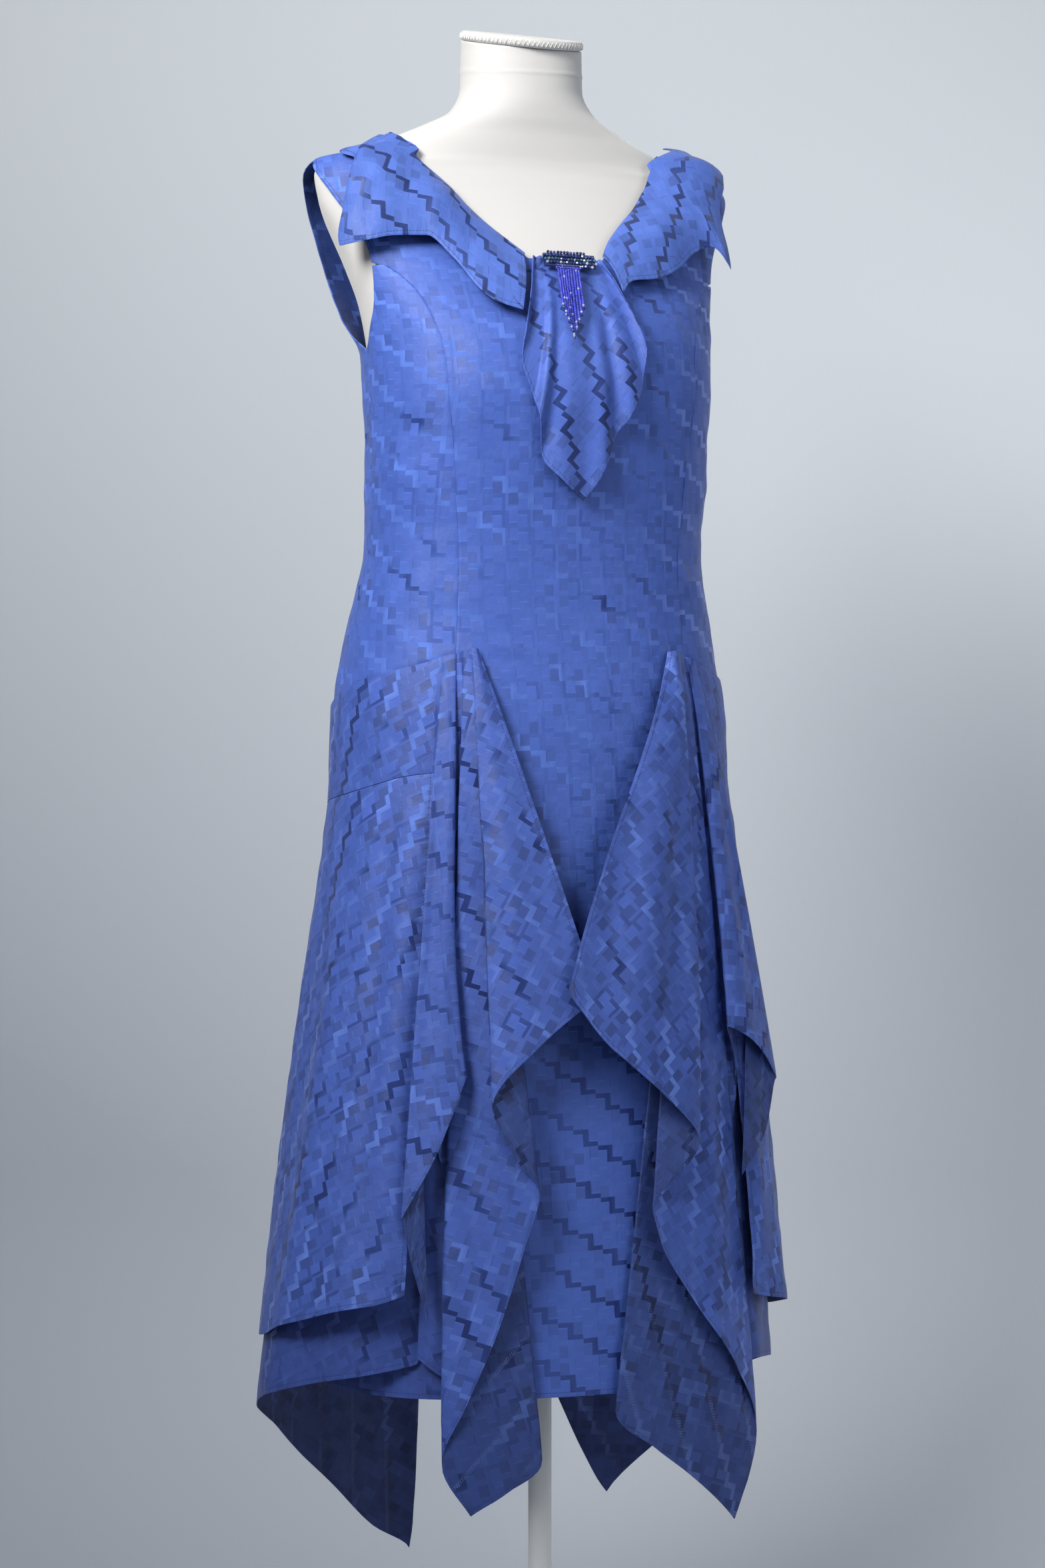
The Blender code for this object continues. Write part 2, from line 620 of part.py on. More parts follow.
def bodice_back(side, name, material, collection):
    """Half of the bodice back, from the hip seam to the shoulder seam and neckline."""
    shoulder_columns = 3
    side_edge = SIDE_SEAM + SEAM_GAP_ANGLE
    shoulder_edge = SIDE_SEAM + SHOULDER_GAP_ANGLE
    centre_edge = CENTRE_BACK - SEAM_GAP_ANGLE

    def top(i):
        if i <= shoulder_columns:
            return shoulder_edge, mix(SHOULDER_TIP, SHOULDER_NECK, i / shoulder_columns)
        share = (i - shoulder_columns) / (BACK_COLUMNS - shoulder_columns)
        angle = mix(shoulder_edge, centre_edge, share)
        return angle, neck_back(angle)

    def gape(angle, height):
        fade = max(0.0, 1 - abs(angle - armhole_back(height)) / 28.0)
        return armhole_gape(height) * fade ** 1.5 if UNDERARM < height < SHOULDER_TIP else 0.0

    def below(i, j):
        angle = mix(side_edge, centre_edge, i / BACK_COLUMNS)
        return angle, mix(hip_seam(angle) + SEAM_GAP / 2, UNDERARM, j / BODICE_ROWS)

    def above(i, j):
        share = (j / SHOULDER_ROWS) ** 0.85
        top_angle, top_height = top(i)
        height = mix(UNDERARM, top_height, share)
        if j in (0, SHOULDER_ROWS):
            return (top_angle if j else below(i, 0)[0]), height
        armhole_height = mix(UNDERARM, SHOULDER_TIP, share)
        armhole_x = oval(max(armhole_back(armhole_height), side_edge), armhole_height).x
        drawn_in = armhole_x - mix(oval(side_edge, UNDERARM).x, oval(shoulder_edge, SHOULDER_TIP).x, share)
        x = mix(oval(below(i, 0)[0], UNDERARM).x, oval(top_angle, top_height).x, share)
        x += drawn_in * (1 - i / BACK_COLUMNS)
        sine = min(x / half_width(height), 1.0) ** (ROUNDNESS / 2)
        return CENTRE_BACK - math.degrees(math.asin(sine)), height

    columns = range(BACK_COLUMNS + 1)
    grid = [[below(i, j) for i in columns] for j in range(BODICE_ROWS)]
    grid += [[above(i, j) for i in columns] for j in range(SHOULDER_ROWS + 1)]
    add_cloth(name, [laid(grid, side, gape)], PANEL_WALL, True, material, collection)


def underskirt_side(side, name, material, collection):
    """Sheath skirt beside the centre panel, under the drapes."""
    across = 4
    grid = []
    for share in SKIRT_ROWS:
        row = []
        for i in range(across + 1):
            u = i / across
            top = hip_seam(mix(PRINCESS_HIP_ANGLE, SIDE_SEAM, u)) - SEAM_GAP / 2
            height = mix(KNEE_HEM, top, share)
            start = princess_angle(height) + SEAM_GAP_ANGLE
            row.append((mix(start, SIDE_SEAM - SEAM_GAP_ANGLE, u), height))
        grid.append(row)
    add_cloth(name, [laid(grid, side)], PANEL_WALL, True, material, collection)


def underskirt_back(material, collection):
    """Sheath skirt round the back, side seam to side seam."""
    grid = []
    for share in SKIRT_ROWS:
        row = []
        for i in range(-BACK_COLUMNS, BACK_COLUMNS + 1):
            angle = mix(CENTRE_BACK, SIDE_SEAM + SEAM_GAP_ANGLE, abs(i) / BACK_COLUMNS)
            top = hip_seam(angle) - SEAM_GAP / 2
            row.append((math.copysign(angle, i), mix(KNEE_HEM, top, share)))
        grid.append(row)
    add_cloth("underskirt_back", [laid(grid, 1)], PANEL_WALL, True, material, collection)


def hung_place(side, seam, hem, sway, v):
    """Angle, height and lift on a hanging line of cloth, v from 0 at its seam to 1 at its hem.

    Seam and hem are (angle, height, lift in mm). Seen from outside the line is straight, and its lift
    grows evenly, so that layers of one fold never change places.
    """
    swing = hem[0] + sway * math.sin(math.pi * v)
    top = on_body(side * seam[0], seam[1], seam[2] * MM)
    straight = top.lerp(on_body(side * swing, hem[1], hem[2] * MM), v)
    lift = mix(seam[2], hem[2], v) * MM
    angle = side * mix(seam[0], swing, v)
    for _ in range(3):
        here = on_body(angle, straight.z, lift)
        degree = on_body(angle + 1.0, straight.z, lift) - here
        angle += (straight - here).dot(degree) / degree.length_squared
    return angle, straight.z, lift


def hung_lines(rows, corners, seam, side):
    """The place on a table's lines as a function of the line's number u and the share v down it."""
    seam_angle, seam_lift, sway = (along_rows(rows, k) for k in (1, 2, 3))
    hem_angle, hem_lift = (along_rows(rows, k) for k in (4, 5))
    hem_height = along_rows(rows, 6, corners)

    def place(u, v):
        top = (seam_angle(u), seam(seam_angle(u)) - SEAM_GAP, seam_lift(u))
        return hung_place(side, top, (hem_angle(u), hem_height(u), hem_lift(u)), sway(u), v)

    return place


def fold_columns(rows):
    """Numbers of the lines that are meshed: two close ones round each turn, and one half-way beside it."""
    last = len(rows) - 1
    turns = [i for i in range(1, last) if rows[i][0].startswith("turn")]
    columns = []
    for i in range(last + 1):
        columns += [i - TURN_HALF, i + TURN_HALF] if i in turns else [i]
        if i < last and (i in turns or i + 1 in turns):
            columns.append(i + 0.5)
    return columns


def cascade(side, name, rows, returned, material, collection):
    """Front overskirt and hip yoke in one sheet, with the return of its last fold."""
    return_steps = 2
    to_corner = 3
    below_corner = 10
    return_from = 5
    yoke_across = 6
    last = len(rows) - 1
    place = hung_lines(rows, CASCADE_CORNERS, hip_seam, side)
    top_height = hip_seam(rows[-1][1])
    corner_share = (top_height - second_seam(TIER_CORNER_ANGLE)) / (top_height - rows[-1][6])
    shares = [corner_share * (j / to_corner) ** SEAM_CROWD for j in range(to_corner)]
    shares += [mix(corner_share, 1.0, j / below_corner) for j in range(below_corner + 1)]
    folds = [[on_body(*place(u, v)) for u in fold_columns(rows)] for v in shares]
    edge = [place(last, v) for v in shares]

    yoke_end = SIDE_SEAM - SEAM_GAP_ANGLE
    yoke = []
    for j in range(to_corner + 1):
        v = (j / to_corner) ** SEAM_CROWD
        row = []
        for i in range(yoke_across + 1):
            u = i / yoke_across
            top_angle = mix(rows[-1][1], yoke_end, u)
            low_angle = mix(TIER_CORNER_ANGLE, yoke_end, u)
            angle = mix(top_angle, low_angle, v)
            height = mix(hip_seam(top_angle) - SEAM_GAP, second_seam(low_angle) + SEAM_GAP, v)
            row.append(on_body(side * angle, height, mix(*YOKE_LIFT, v)))
        row[0] = on_body(*edge[j])
        yoke.append(row)

    hem_angle, hem_lift, hem_height = (along_rows(returned, k) for k in (1, 2, 3))
    first = to_corner + return_from
    fan = []
    for j in range(first, len(shares)):
        angle, height, lift = edge[j]
        opened = mix(RETURN_START, 1.0, (j - first) / (len(shares) - 1 - first))
        row = []
        for i in range(len(returned) * return_steps - 1):
            u = i / return_steps
            back = (hem_angle(0) - hem_angle(u)) * opened ** 1.2
            down = (hem_height(0) - hem_height(u)) * opened ** 1.2
            inward = (hem_lift(0) - hem_lift(u)) * opened ** 0.5
            row.append(on_body(angle - side * back, height - down, lift - inward * MM))
        fan.append(row)
    add_cloth(name, [folds, yoke, fan], DRAPE_WALL, False, material, collection)


def back_yoke(side, name, material, collection):
    """Hip yoke from the side seam to the centre back."""
    along = 3
    grid = []
    for j in range(along + 1):
        row = []
        for i in range(BACK_COLUMNS + 1):
            angle = mix(SIDE_SEAM + SEAM_GAP_ANGLE, CENTRE_BACK - SEAM_GAP_ANGLE, i / BACK_COLUMNS)
            height = mix(hip_seam(angle) - SEAM_GAP, second_seam(angle) + SEAM_GAP, j / along)
            row.append(on_body(side * angle, height, mix(*YOKE_LIFT, j / along)))
        grid.append(row)
    add_cloth(name, [grid], DRAPE_WALL, False, material, collection)


def flounce(side, name, rows, corners, along, material, collection):
    """A tier that hangs from the second seam."""
    per_row = 2
    place = hung_lines(rows, corners, second_seam, side)
    columns = (len(rows) - 1) * per_row + 1
    grid = [[on_body(*place(i / per_row, j / along)) for i in range(columns)] for j in range(along + 1)]
    add_cloth(name, [grid], DRAPE_WALL, False, material, collection)


def collar(side, name, rows, material, collection):
    """Soft collar flap, from the neckline out over the shoulder and chest."""
    per_row = 2
    across = 6
    last = len(rows) - 1
    neck_angle, neck_height, neck_lift = (along_rows(rows, k) for k in (1, 2, 3))
    outer_height, outer_lift = (along_rows(rows, k, ("corner",)) for k in (5, 6))
    outer_angle, swell = (along_rows(rows, k) for k in (4, 7))
    grid = []
    for i in range(last * per_row + 1):
        u = i / per_row
        row = []
        for j in range(across + 1):
            v = j / across
            angle = mix(neck_angle(u), outer_angle(u), v)
            height = mix(neck_height(u), outer_height(u), v)
            lift = mix(neck_lift(u), outer_lift(u), v) + swell(u) * math.sin(math.pi * v ** 0.8)
            row.append(on_body(side * angle, height, lift * MM))
        grid.append(row)
    add_cloth(name, [grid], DRAPE_WALL, False, material, collection)


def jabot(material, collection):
    """Pointed drape gathered into the bottom of the neckline."""
    per_row = 2
    along = 9
    last = len(JABOT) - 1
    top_angle, edge_angle = (along_rows(JABOT, k) for k in (1, 2))
    edge_height = along_rows(JABOT, 3, JABOT_CORNERS)
    edge_lift = along_rows(JABOT, 4)
    grid = []
    for j in range(along + 1):
        v = j / along
        row = []
        for i in range(last * per_row + 1):
            u = i / per_row
            angle = mix(top_angle(u), edge_angle(u), v)
            height = mix(JABOT_TOP, edge_height(u), v)
            wave = JABOT_TOP_WAVE * math.cos(math.pi * u)
            lift = mix(JABOT_TOP_LIFT + wave, edge_lift(u), v ** 0.7)
            row.append(on_body(angle, height, lift * MM))
        grid.append(row)
    add_cloth("jabot", [grid], DRAPE_WALL, False, material, collection)


def brooch(bead_material, string_material, collection):
    """Beaded plaque and, below it, nine bead strings whose roots share one strip."""
    centre = on_body(BROOCH_ANGLE, BROOCH_HEIGHT, BROOCH_LIFT * MM)
    length, thick, tall = BROOCH_SIZE
    bm = bmesh.new()
    bmesh.ops.create_cube(bm, size=1.0)
    bmesh.ops.scale(bm, vec=(length, thick, tall), verts=bm.verts)
    plaque = add_object("brooch_plaque", mesh_from("brooch_plaque", bm), bead_material, collection)
    plaque.location = centre
    plaque.rotation_euler = (math.radians(-BROOCH_TILT), 0.0, 0.0)
    rounding = plaque.modifiers.new("rounded", "BEVEL")
    rounding.width = 0.45 * thick
    rounding.segments = 2

    strip_length, strip_thick, strip_tall = STRIP_SIZE
    bm = bmesh.new()
    bmesh.ops.create_cube(bm, size=1.0)
    bmesh.ops.scale(bm, vec=(strip_length, strip_thick, strip_tall), verts=bm.verts)
    strip = add_object("bead_fringe", mesh_from("bead_fringe", bm), string_material, collection)
    strip.location = on_body(STRING_ANGLE, STRING_TOP, STRING_TOP_LIFT)
    middle = (STRING_COUNT - 1) / 2
    for k in range(STRING_COUNT):
        share = 1 - abs(k - middle) / middle
        root = strip.location + Vector(((k - middle) * STRING_SPACING, 0.0, 0.0))
        drop = mix(STRING_SHORT, STRING_LONG, share)
        end = on_body(STRING_ANGLE + STRING_SWING * drop / STRING_LONG, STRING_TOP - drop, STRING_END_LIFT)
        end.x += (k - middle) * STRING_SPACING
        bm = bmesh.new()
        ends = []
        for centre in (root, end):
            corners = [(0, -1), (1, 0), (0, 1), (-1, 0)]
            ends.append([centre + Vector((x, y, 0.0)) * STRING_RADIUS for x, y in corners])
        top, foot = add_grid(bm, ends, ring=True)
        bm.faces.new(list(reversed(top)))
        bm.faces.new(foot)
        bmesh.ops.recalc_face_normals(bm, faces=bm.faces)
        string = bpy.data.objects.new(f"string_{k}", mesh_from(f"string_{k}", bm))
        string.hide_render = True
        string.display_type = "WIRE"
        cutters().objects.link(string)
        union = strip.modifiers.new(f"string_{k}", "BOOLEAN")
        union.operation = "UNION"
        union.solver = "EXACT"
        union.object = string


def cutters():
    found = bpy.data.collections.get("cutters")
    if not found:
        found = bpy.data.collections.new("cutters")
        found.hide_render = True
        bpy.context.scene.collection.children.link(found)
    return found


def dress_form(material, cap_material, collection):
    """Limbless torso with shoulders and neck, closed at the foot, and the cap on its neck."""
    around = 28
    heights = [FORM_FOOT, 0.84, 0.90, 0.96, 1.01, 1.06, 1.11, 1.16, 1.21, 1.255, 1.295, 1.33, 1.37, 1.405]
    heights += [1.435, 1.465, 1.49, 1.505, 1.516, 1.524, 1.532, 1.542, 1.556, NECK_FOOT, 1.590, NECK_TOP]
    bm = bmesh.new()
    rings = []
    foot = side_line(FORM_FOOT)
    for shrink, drop in ((0.80, FORM_FOOT_ROUND), (0.95, 0.6 * FORM_FOOT_ROUND)):
        ring = []
        for i in range(around):
            point = on_body(360.0 * i / around, FORM_FOOT, -FORM_INSET)
            ring.append(Vector((point.x * shrink, foot + (point.y - foot) * shrink, FORM_FOOT - drop)))
        rings.append(ring)
    slope = math.tan(math.radians(CAP_TILT))

    def inset(angle, height):
        low, high = SHOULDER_FALL_RANGE
        rise = math.sin(math.pi * min(max((height - low) / (high - low), 0.0), 1.0))
        behind = max(0.0, -math.cos(math.radians(angle))) * abs(math.sin(math.radians(angle)))
        return FORM_INSET + SHOULDER_FALL * rise * behind

    for height in heights:
        angles = [360.0 * i / around for i in range(around)]
        ring = [on_body(angle, height, -inset(angle, height)) for angle in angles]
        lean = max(0.0, (height - NECK_FOOT) / (NECK_TOP - NECK_FOOT)) * slope
        rings.append([Vector((p.x, p.y, p.z + lean * (p.y - side_line(height)))) for p in ring])
    rows = add_grid(bm, rings, ring=True)
    bm.faces.new(list(reversed(rows[0])))
    bm.faces.new(rows[-1])
    bmesh.ops.recalc_face_normals(bm, faces=bm.faces)
    add_object("form_torso", mesh_from("form_torso", bm), material, collection)

    middle = side_line(NECK_TOP)
    bm = bmesh.new()
    bmesh.ops.create_cone(bm, cap_ends=True, segments=32, radius1=1.0, radius2=1.0, depth=1.0)
    bmesh.ops.scale(bm, vec=(CAP_RADIUS, CAP_RADIUS, CAP_THICK), verts=bm.verts)
    cap = add_object("form_neck_cap", mesh_from("form_neck_cap", bm), cap_material, collection)
    lean = Vector((0.0, -math.sin(math.radians(CAP_TILT)), math.cos(math.radians(CAP_TILT))))
    cap.location = Vector((0.0, middle, NECK_TOP)) + lean * (CAP_THICK / 2 + CAP_GAP)
    cap.rotation_euler = (math.radians(CAP_TILT), 0.0, 0.0)
    rounding = cap.modifiers.new("rounded", "BEVEL")
    rounding.width = 3.0 * MM
    rounding.segments = 2
    rounding.limit_method = "ANGLE"


def stand(pole_material, base_material, collection):
    """Upright tube from the base plate to the foot of the form, and the round base plate."""
    foot = FORM_FOOT - FORM_FOOT_ROUND - SEAM_GAP
    base_top = BASE_THICK + BASE_RISE
    bpy.ops.mesh.primitive_cylinder_add(
        vertices=24,
        radius=POLE_RADIUS,
        depth=foot - base_top - SEAM_GAP,
        location=(0.0, 0.0, (foot + base_top + SEAM_GAP) / 2),
    )
    pole = bpy.context.object
    pole.name = "stand_pole"
    pole.data.name = "stand_pole"
    pole.data.materials.append(pole_material)
    pole.data.shade_smooth()
    for owner in list(pole.users_collection):
        owner.objects.unlink(pole)
    collection.objects.link(pole)

    profile = bpy.data.meshes.new("stand_base")
    points = (
        (0.0, base_top),
        (0.030, base_top),
        (0.034, BASE_THICK + 1.5 * MM),
        (BASE_RADIUS - 4.0 * MM, BASE_THICK - 2.0 * MM),
        (BASE_RADIUS, BASE_THICK - 6.0 * MM),
        (BASE_RADIUS, 1.0 * MM),
        (BASE_RADIUS - 1.0 * MM, 0.0),
        (0.0, 0.0),
    )
    edges = [(i, i + 1) for i in range(len(points) - 1)]
    profile.from_pydata([(x, 0.0, z) for x, z in points], edges, [])
    base = add_object("stand_base", profile, base_material, collection)
    turned = base.modifiers.new("turned", "SCREW")
    turned.steps = 40
    turned.render_steps = 40
    turned.use_merge_vertices = True
    turned.merge_threshold = 0.00005


def build():
    clear_scene()
    collection = bpy.data.collections.new("flapper_dress")
    bpy.context.scene.collection.children.link(collection)
    satin = {}
    for piece, colour in (
        ("panel", (0.066, 0.115, 0.46)),
        ("drape", (0.075, 0.130, 0.50)),
        ("under", (0.055, 0.095, 0.40)),
        ("collar", (0.085, 0.145, 0.53)),
    ):
        satin[piece] = make_material(f"satin_{piece}", colour, 0.42)
    form_cloth = make_material("form_cover", (0.80, 0.79, 0.77), 0.75)
    cap_cloth = make_material("form_cap", (0.84, 0.83, 0.81), 0.65)
    beads = make_material("glass_beads", (0.03, 0.05, 0.22), 0.15)
    strings = make_material("seed_beads", (0.02, 0.03, 0.36), 0.22)
    steel = make_material("painted_tube", (0.78, 0.78, 0.77), 0.45)
    plate = make_material("painted_plate", (0.75, 0.75, 0.74), 0.5)

    front_centre(satin["panel"], collection)
    underskirt_back(satin["under"], collection)
    for side, label in ((RIGHT, "right"), (LEFT, "left")):
        right = side == RIGHT
        side_front(side, f"side_front_{label}", satin["panel"], collection)
        bodice_back(side, f"back_{label}", satin["panel"], collection)
        underskirt_side(side, f"underskirt_side_{label}", satin["under"], collection)
        back_yoke(side, f"back_yoke_{label}", satin["drape"], collection)
        rows = CASCADE_RIGHT if right else CASCADE_LEFT
        returned = RETURN_RIGHT if right else RETURN_LEFT
        cascade(side, f"cascade_{label}", rows, returned, satin["drape"], collection)
        rows = TIER_RIGHT if right else TIER_LEFT
        flounce(side, f"tier_{label}", rows, (), 8, satin["drape"], collection)
        rows = UNDER_TIER_RIGHT if right else UNDER_TIER_LEFT
        flounce(side, f"under_tier_{label}", rows, UNDER_TIER_CORNERS, 9, satin["under"], collection)
        rows = COLLAR_RIGHT if right else COLLAR_LEFT
        collar(side, f"collar_{label}", rows, satin["collar"], collection)
    jabot(satin["collar"], collection)
    brooch(beads, strings, collection)
    dress_form(form_cloth, cap_cloth, collection)
    stand(steel, plate, collection)


build()
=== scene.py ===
import math
import random

import bmesh
import bpy
import numpy as np
from mathutils import Matrix, Vector


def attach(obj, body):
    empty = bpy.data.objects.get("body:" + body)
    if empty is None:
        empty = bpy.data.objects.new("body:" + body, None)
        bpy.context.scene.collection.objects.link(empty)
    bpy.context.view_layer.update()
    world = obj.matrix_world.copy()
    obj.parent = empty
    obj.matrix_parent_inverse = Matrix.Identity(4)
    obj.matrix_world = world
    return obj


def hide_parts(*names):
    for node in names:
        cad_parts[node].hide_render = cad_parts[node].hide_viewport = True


# Blue satin flapper dress on a limbless dress form: cloth, beads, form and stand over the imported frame.
# Metres, +Z up, the front faces -Y. Every cloth piece is laid out on one body surface: angle 0 is the
# centre front, 90 the side seam and 180 the centre back. Lifts and swells in the tables are millimetres.

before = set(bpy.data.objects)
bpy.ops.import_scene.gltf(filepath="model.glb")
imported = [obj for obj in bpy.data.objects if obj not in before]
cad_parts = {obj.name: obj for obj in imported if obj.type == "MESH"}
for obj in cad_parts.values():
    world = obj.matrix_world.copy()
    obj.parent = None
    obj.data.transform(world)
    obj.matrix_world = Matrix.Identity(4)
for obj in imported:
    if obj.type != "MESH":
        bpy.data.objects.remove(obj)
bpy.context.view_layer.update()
print("frame loaded:", len(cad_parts), "nodes")

mm = 0.001
inMillimetres = (1000.0, 1000.0, 1.0)
sides = {"right": -1, "left": 1}     # the wearer's right is at negative x
sideSeam = 90.0
centreBack = 180.0

dress = {
    "panelWall": 1.0 * mm,      # fitted panels, laid inward from the body surface
    "drapeWall": 0.8 * mm,      # drapes, collar and jabot, shared between both faces
    "seamGap": 0.34 * mm,
    "seamGapAngle": 0.035,
    "shoulderGapAngle": 0.5,
    "yokeLift": (2.0 * mm, 2.8 * mm),
    "kneeHem": 0.380,
    "underarm": 1.330,
    "neckBottom": 1.412,
    "princessTop": 1.404,
    "princessHipAngle": 36.8,
    "neckBottomAngle": 9.5,
    "shoulderTip": 1.510,
    "shoulderNeck": 1.538,
    "tierCornerAngle": 41.2,
    "step": 5.0 * mm,           # size of the mesh squares on the fitted panels
}

# Outer face of the close-fitting dress: a flattened oval at each height
roundness = 2.2
bodyRings = [
    # height, halfWidth, front, back, sideY
    (0.150, 0.207, 0.134, 0.162, 0.013),
    (0.380, 0.205, 0.130, 0.160, 0.015),
    (0.600, 0.200, 0.122, 0.157, 0.018),
    (0.800, 0.194, 0.115, 0.155, 0.022),
    (0.940, 0.190, 0.110, 0.156, 0.026),
    (1.000, 0.188, 0.106, 0.155, 0.028),
    (1.050, 0.181, 0.100, 0.149, 0.028),
    (1.100, 0.171, 0.096, 0.139, 0.022),
    (1.150, 0.163, 0.097, 0.131, 0.014),
    (1.230, 0.1645, 0.106, 0.126, 0.006),
    (1.290, 0.167, 0.114, 0.126, 0.005),
    (1.330, 0.169, 0.108, 0.129, 0.008),
    (1.370, 0.174, 0.090, 0.133, 0.016),
    (1.410, 0.186, 0.062, 0.135, 0.028),
    (1.440, 0.198, 0.042, 0.133, 0.037),
    (1.470, 0.209, 0.025, 0.128, 0.045),
    (1.495, 0.213, 0.014, 0.119, 0.049),
    (1.510, 0.205, 0.009, 0.113, 0.050),
    (1.518, 0.178, 0.008, 0.110, 0.050),
    (1.538, 0.142, 0.008, 0.109, 0.050),
    (1.555, 0.104, 0.010, 0.107, 0.049),
    (1.571, 0.075, 0.011, 0.105, 0.047),
    (1.590, 0.065, 0.011, 0.105, 0.047),
    (1.650, 0.064, 0.011, 0.105, 0.047),
]
princessSeam = [
    # height, angle
    (0.380, 36.0),
    (0.940, 36.5),
    (1.052, 36.8),
    (1.157, 40.5),
    (1.234, 43.0),
    (1.277, 45.0),
    (1.322, 46.0),
    (1.349, 48.0),
    (1.375, 51.0),
    (1.394, 56.0),
    (1.412, 66.0),
]
armholeFrontRows = [
    # height, angle
    (1.330, 90.0),
    (1.358, 80.0),
    (1.393, 70.0),
    (1.412, 66.0),
    (1.430, 64.5),
    (1.450, 66.0),
    (1.478, 72.0),
    (1.495, 79.0),
    (1.510, 90.0),
]
armholeBackRows = [
    # height, angle, gape
    (1.330, 90.0, 0.000),
    (1.345, 98.0, 0.006),
    (1.370, 106.0, 0.012),
    (1.410, 114.0, 0.015),
    (1.450, 116.0, 0.013),
    (1.480, 112.0, 0.009),
    (1.498, 102.0, 0.003),
    (1.510, 90.0, 0.000),
]
neckFrontRows = [
    # height, angle
    (1.412, 9.5),
    (1.426, 13.0),
    (1.439, 16.5),
    (1.452, 19.5),
    (1.468, 22.0),
    (1.483, 25.0),
    (1.503, 31.5),
    (1.516, 38.4),
    (1.528, 54.0),
    (1.538, 90.0),
]
neckBackRows = [
    # angle, height
    (90.0, 1.538),
    (110.0, 1.535),
    (135.0, 1.526),
    (160.0, 1.516),
    (180.0, 1.512),
]
hipSeamRows = [
    # angle, height
    (0.0, 1.055),
    (29.0, 1.051),
    (38.0, 1.047),
    (48.0, 1.039),
    (60.0, 1.032),
    (74.0, 1.025),
    (92.0, 1.011),
    (104.0, 1.003),
    (130.0, 0.992),
    (180.0, 0.984),
]
secondSeamRows = [
    # angle, height
    (30.0, 0.943),
    (41.2, 0.940),
    (52.0, 0.937),
    (64.0, 0.930),
    (81.0, 0.921),
    (104.0, 0.913),
    (140.0, 0.904),
    (180.0, 0.900),
]


def smoothCurve(xs, ys):
    xs = np.array(xs, float)
    ys = np.array(ys, float)
    steps = np.diff(xs)
    slopes = np.diff(ys) / steps
    tangents = np.zeros(len(xs))
    tangents[0], tangents[-1] = slopes[0], slopes[-1]
    for i in range(1, len(xs) - 1):
        if slopes[i - 1] * slopes[i] > 0:
            first = 2 * steps[i] + steps[i - 1]
            second = steps[i] + 2 * steps[i - 1]
            tangents[i] = (first + second) / (first / slopes[i - 1] + second / slopes[i])

    def value(x):
        x = np.clip(x, xs[0], xs[-1])
        i = np.clip(np.searchsorted(xs, x, side="right") - 1, 0, len(xs) - 2)
        t = (x - xs[i]) / steps[i]
        low = (1 + 2 * t) * (1 - t) ** 2 * ys[i] + t * (1 - t) ** 2 * steps[i] * tangents[i]
        return low + t * t * (3 - 2 * t) * ys[i + 1] + t * t * (t - 1) * steps[i] * tangents[i + 1]

    return value


def column(table, index, by=0):
    return smoothCurve([row[by] for row in table], [row[index] for row in table])


def alongLines(rows, index, corners=()):   # one column over the line's number, sharp at the corners
    last = len(rows) - 1
    breaks = [0] + [i for i in range(1, last) if rows[i][0] in corners] + [last]
    parts = []
    for start, end in zip(breaks, breaks[1:]):
        numbers = list(range(start, end + 1))
        parts.append(smoothCurve(numbers, [rows[i][index] for i in numbers]))

    def value(u):
        found = parts[0](u)
        for edge, part in zip(breaks[1:-1], parts[1:]):
            found = np.where(u >= edge, part(u), found)
        return found

    return value


def mix(a, b, t):
    return a + (b - a) * t


def sharesAcross(count):
    return np.linspace(0, 1, count + 1)[None, :]


def sharesDown(count):
    return sharesAcross(count).T


def ramp(value, low, high):                # 0 below low, 1 above high, smooth between
    t = np.clip((value - low) / (high - low), 0.0, 1.0)
    return t * t * (3 - 2 * t)


halfWidth = column(bodyRings, 1)
frontDepth = column(bodyRings, 2)
backDepth = column(bodyRings, 3)
sideLine = column(bodyRings, 4)
princessAngle = column(princessSeam, 1)
armholeFront = column(armholeFrontRows, 1)
armholeBack = column(armholeBackRows, 1)
armholeGape = column(armholeBackRows, 2)
neckFront = column(neckFrontRows, 1)
neckBack = column(neckBackRows, 1)
hipSeam = column(hipSeamRows, 1)
secondSeam = column(secondSeamRows, 1)


def oval(angle, height):
    angle, height = np.broadcast_arrays(np.asarray(angle, float), np.asarray(height, float))
    sine = np.sin(np.radians(angle))
    cosine = np.cos(np.radians(angle))
    middle = sideLine(height)
    depth = np.where(cosine > 0, middle + frontDepth(height), backDepth(height) - middle)
    power = 2 / roundness
    x = halfWidth(height) * np.sign(sine) * np.abs(sine) ** power
    y = middle - depth * np.sign(cosine) * np.abs(cosine) ** power
    return np.stack([x, y, height], axis=-1)


def onBody(angle, height, lift=0.0):       # the point that stands off the body by the lift
    angle, height, lift = np.broadcast_arrays(*(np.asarray(value, float) for value in (angle, height, lift)))
    across = oval(angle + 0.5, height) - oval(angle - 0.5, height)
    top = np.minimum(height + 0.002, bodyRings[-1][0])
    low = np.maximum(height - 0.002, bodyRings[0][0])
    outward = np.cross(across, oval(angle, top) - oval(angle, low))
    outward /= np.linalg.norm(outward, axis=-1, keepdims=True)
    return oval(angle, height) + outward * lift[..., None]


def onSide(side, angle, height, lift=0.0):
    return onBody(side * np.asarray(angle, float), height, lift)


def arcFromFront(angle, height):           # length round the body from the centre front
    total = 0.0
    steps = 24
    before = oval(0.0 * angle, height)
    for k in range(steps):
        here = oval(angle * (k + 1) / steps, height)
        total = total + np.linalg.norm(here - before, axis=-1)
        before = here
    return total


